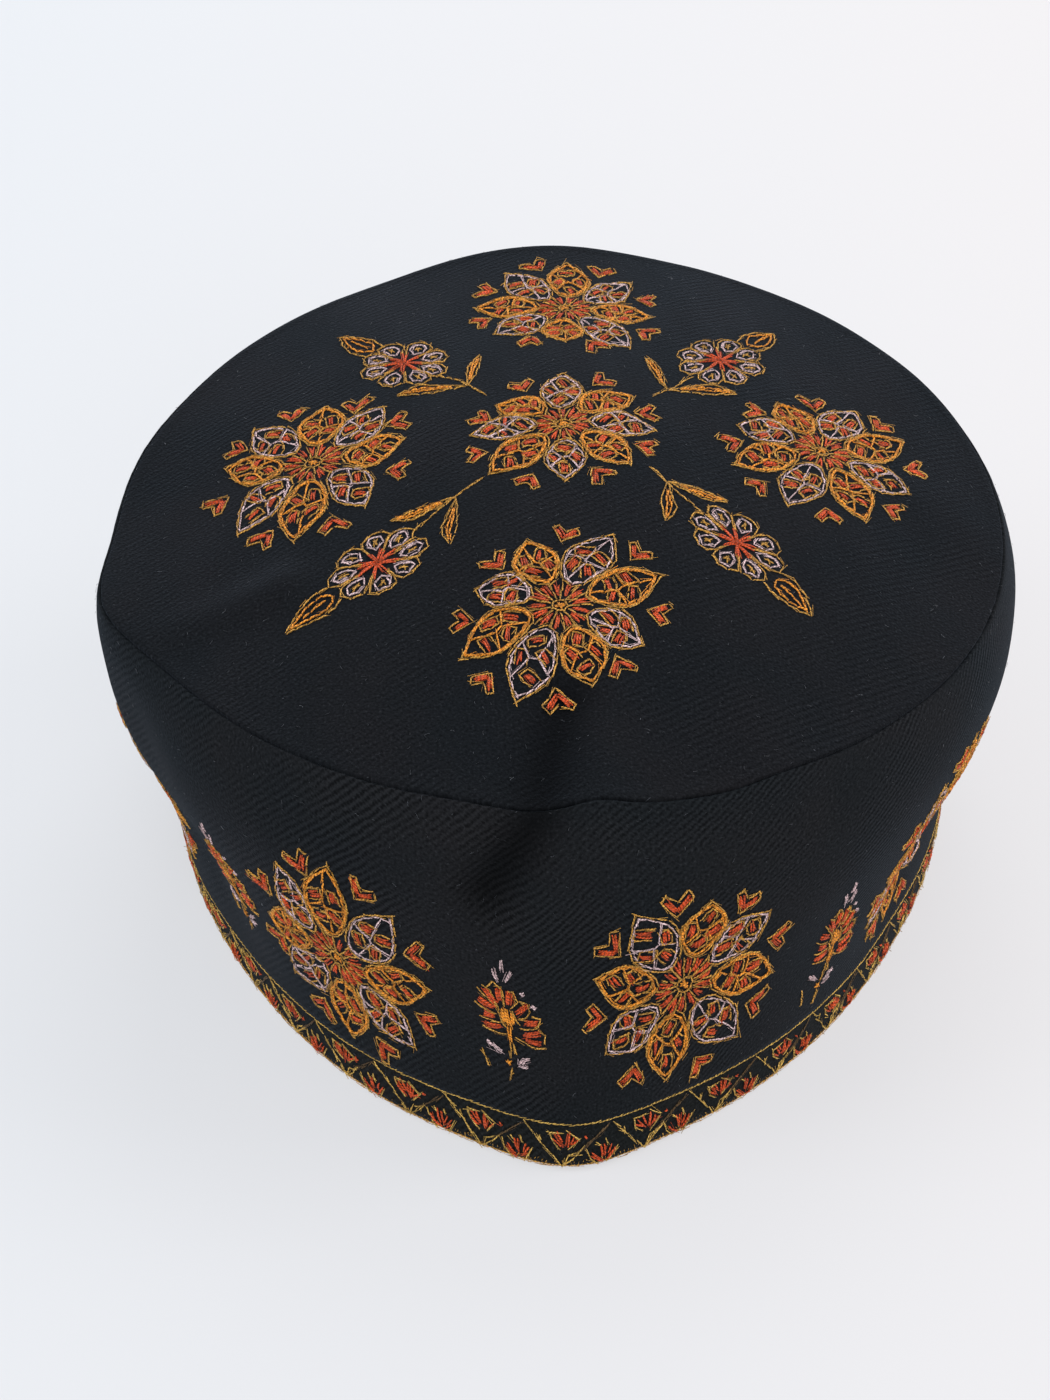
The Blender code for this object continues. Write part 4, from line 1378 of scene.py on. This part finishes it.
class CAP_OT_stage(bpy.types.Operator):
    """Set up the pale floor, the soft lights and the camera"""
    bl_idname = "cap.stage"
    bl_label = "Set stage"

    def execute(self, context):
        settings = context.scene.cap_settings
        mesh = bpy.data.meshes.new("floor")
        corners = [(x * FLOOR_HALF, y * FLOOR_HALF, 0) for x, y in ((-1, -1), (1, -1), (1, 1), (-1, 1))]
        mesh.from_pydata(corners, [], [(0, 1, 2, 3)])
        mesh.materials.append(pale_floor(settings.floor, settings.glow))
        floor = add_object("floor", mesh)
        for name, place, size, power, colour in LIGHTS:
            data = bpy.data.lights.new(name, "AREA")
            data.size = size
            data.energy = power
            data.color = colour
            lamp = add_object(name, data)
            lamp.location = place
            lamp.rotation_euler = (Vector((0, 0, 0.05)) - Vector(place)).to_track_quat("-Z", "Y").to_euler()
        world = bpy.data.worlds.new("studio")
        world.use_nodes = True
        world.node_tree.nodes.clear()
        bench = Bench(world.node_tree)
        sky = bench.wire("ShaderNodeBackground", {"Color": SKY_COLOUR, "Strength": SKY_STRENGTH})
        bench.node("ShaderNodeOutputWorld", {"Surface": sky})
        context.scene.world = world
        context.scene.view_settings.view_transform = "Standard"
        self.set_camera(context.scene)
        return {"FINISHED"}

    def set_camera(self, scene):
        """The camera at the photograph's angle."""
        data = bpy.data.cameras.new("camera")
        data.sensor_width = 36.0
        data.lens = LENS
        data.clip_start = 0.01
        data.clip_end = 20.0
        elevation, azimuth = math.radians(CAMERA_ELEVATION), math.radians(CAMERA_AZIMUTH)
        back = Vector((math.sin(azimuth) * math.cos(elevation), -math.cos(azimuth) * math.cos(elevation),
                       math.sin(elevation)))
        right = (-back).cross(Vector((0, 0, 1))).normalized()
        up = right.cross(-back)
        roll = math.radians(CAMERA_ROLL)
        side = right * math.cos(roll) + up * math.sin(roll)
        top = up * math.cos(roll) - right * math.sin(roll)
        matrix = Matrix((side, top, back)).transposed().to_4x4()
        matrix.translation = CAMERA_TARGET + back * CAMERA_AWAY
        scene.camera = add_object("camera", data)
        scene.camera.matrix_world = matrix


class CAP_PT_tools(bpy.types.Panel):
    """The cap's tools in the 3D view's sidebar"""
    bl_idname = "CAP_PT_tools"
    bl_label = "Embroidered cap"
    bl_space_type = "VIEW_3D"
    bl_region_type = "UI"
    bl_category = "Cap"

    def draw(self, context):
        settings = context.scene.cap_settings
        for name in CapSettings.__annotations__:
            self.layout.prop(settings, name)
        for tool in TOOLS:
            self.layout.operator(tool.bl_idname)


TOOLS = (CAP_OT_threads, CAP_OT_panels, CAP_OT_crown_flowers, CAP_OT_band_flowers, CAP_OT_border,
         CAP_OT_fibres, CAP_OT_stage)


def register():
    """Add the settings, the tools and their panel to Blender."""
    for kind in (CapSettings, *TOOLS, CAP_PT_tools):
        bpy.utils.register_class(kind)
    bpy.types.Scene.cap_settings = PointerProperty(type=CapSettings)


def unregister():
    """Take them out again."""
    del bpy.types.Scene.cap_settings
    for kind in (CAP_PT_tools, *reversed(TOOLS), CapSettings):
        bpy.utils.unregister_class(kind)


def main():
    """Make every piece in order."""
    register()
    for tool in TOOLS:
        group, name = tool.bl_idname.split(".")
        getattr(getattr(bpy.ops, group), name)()


if __name__ == "__main__":
    main()
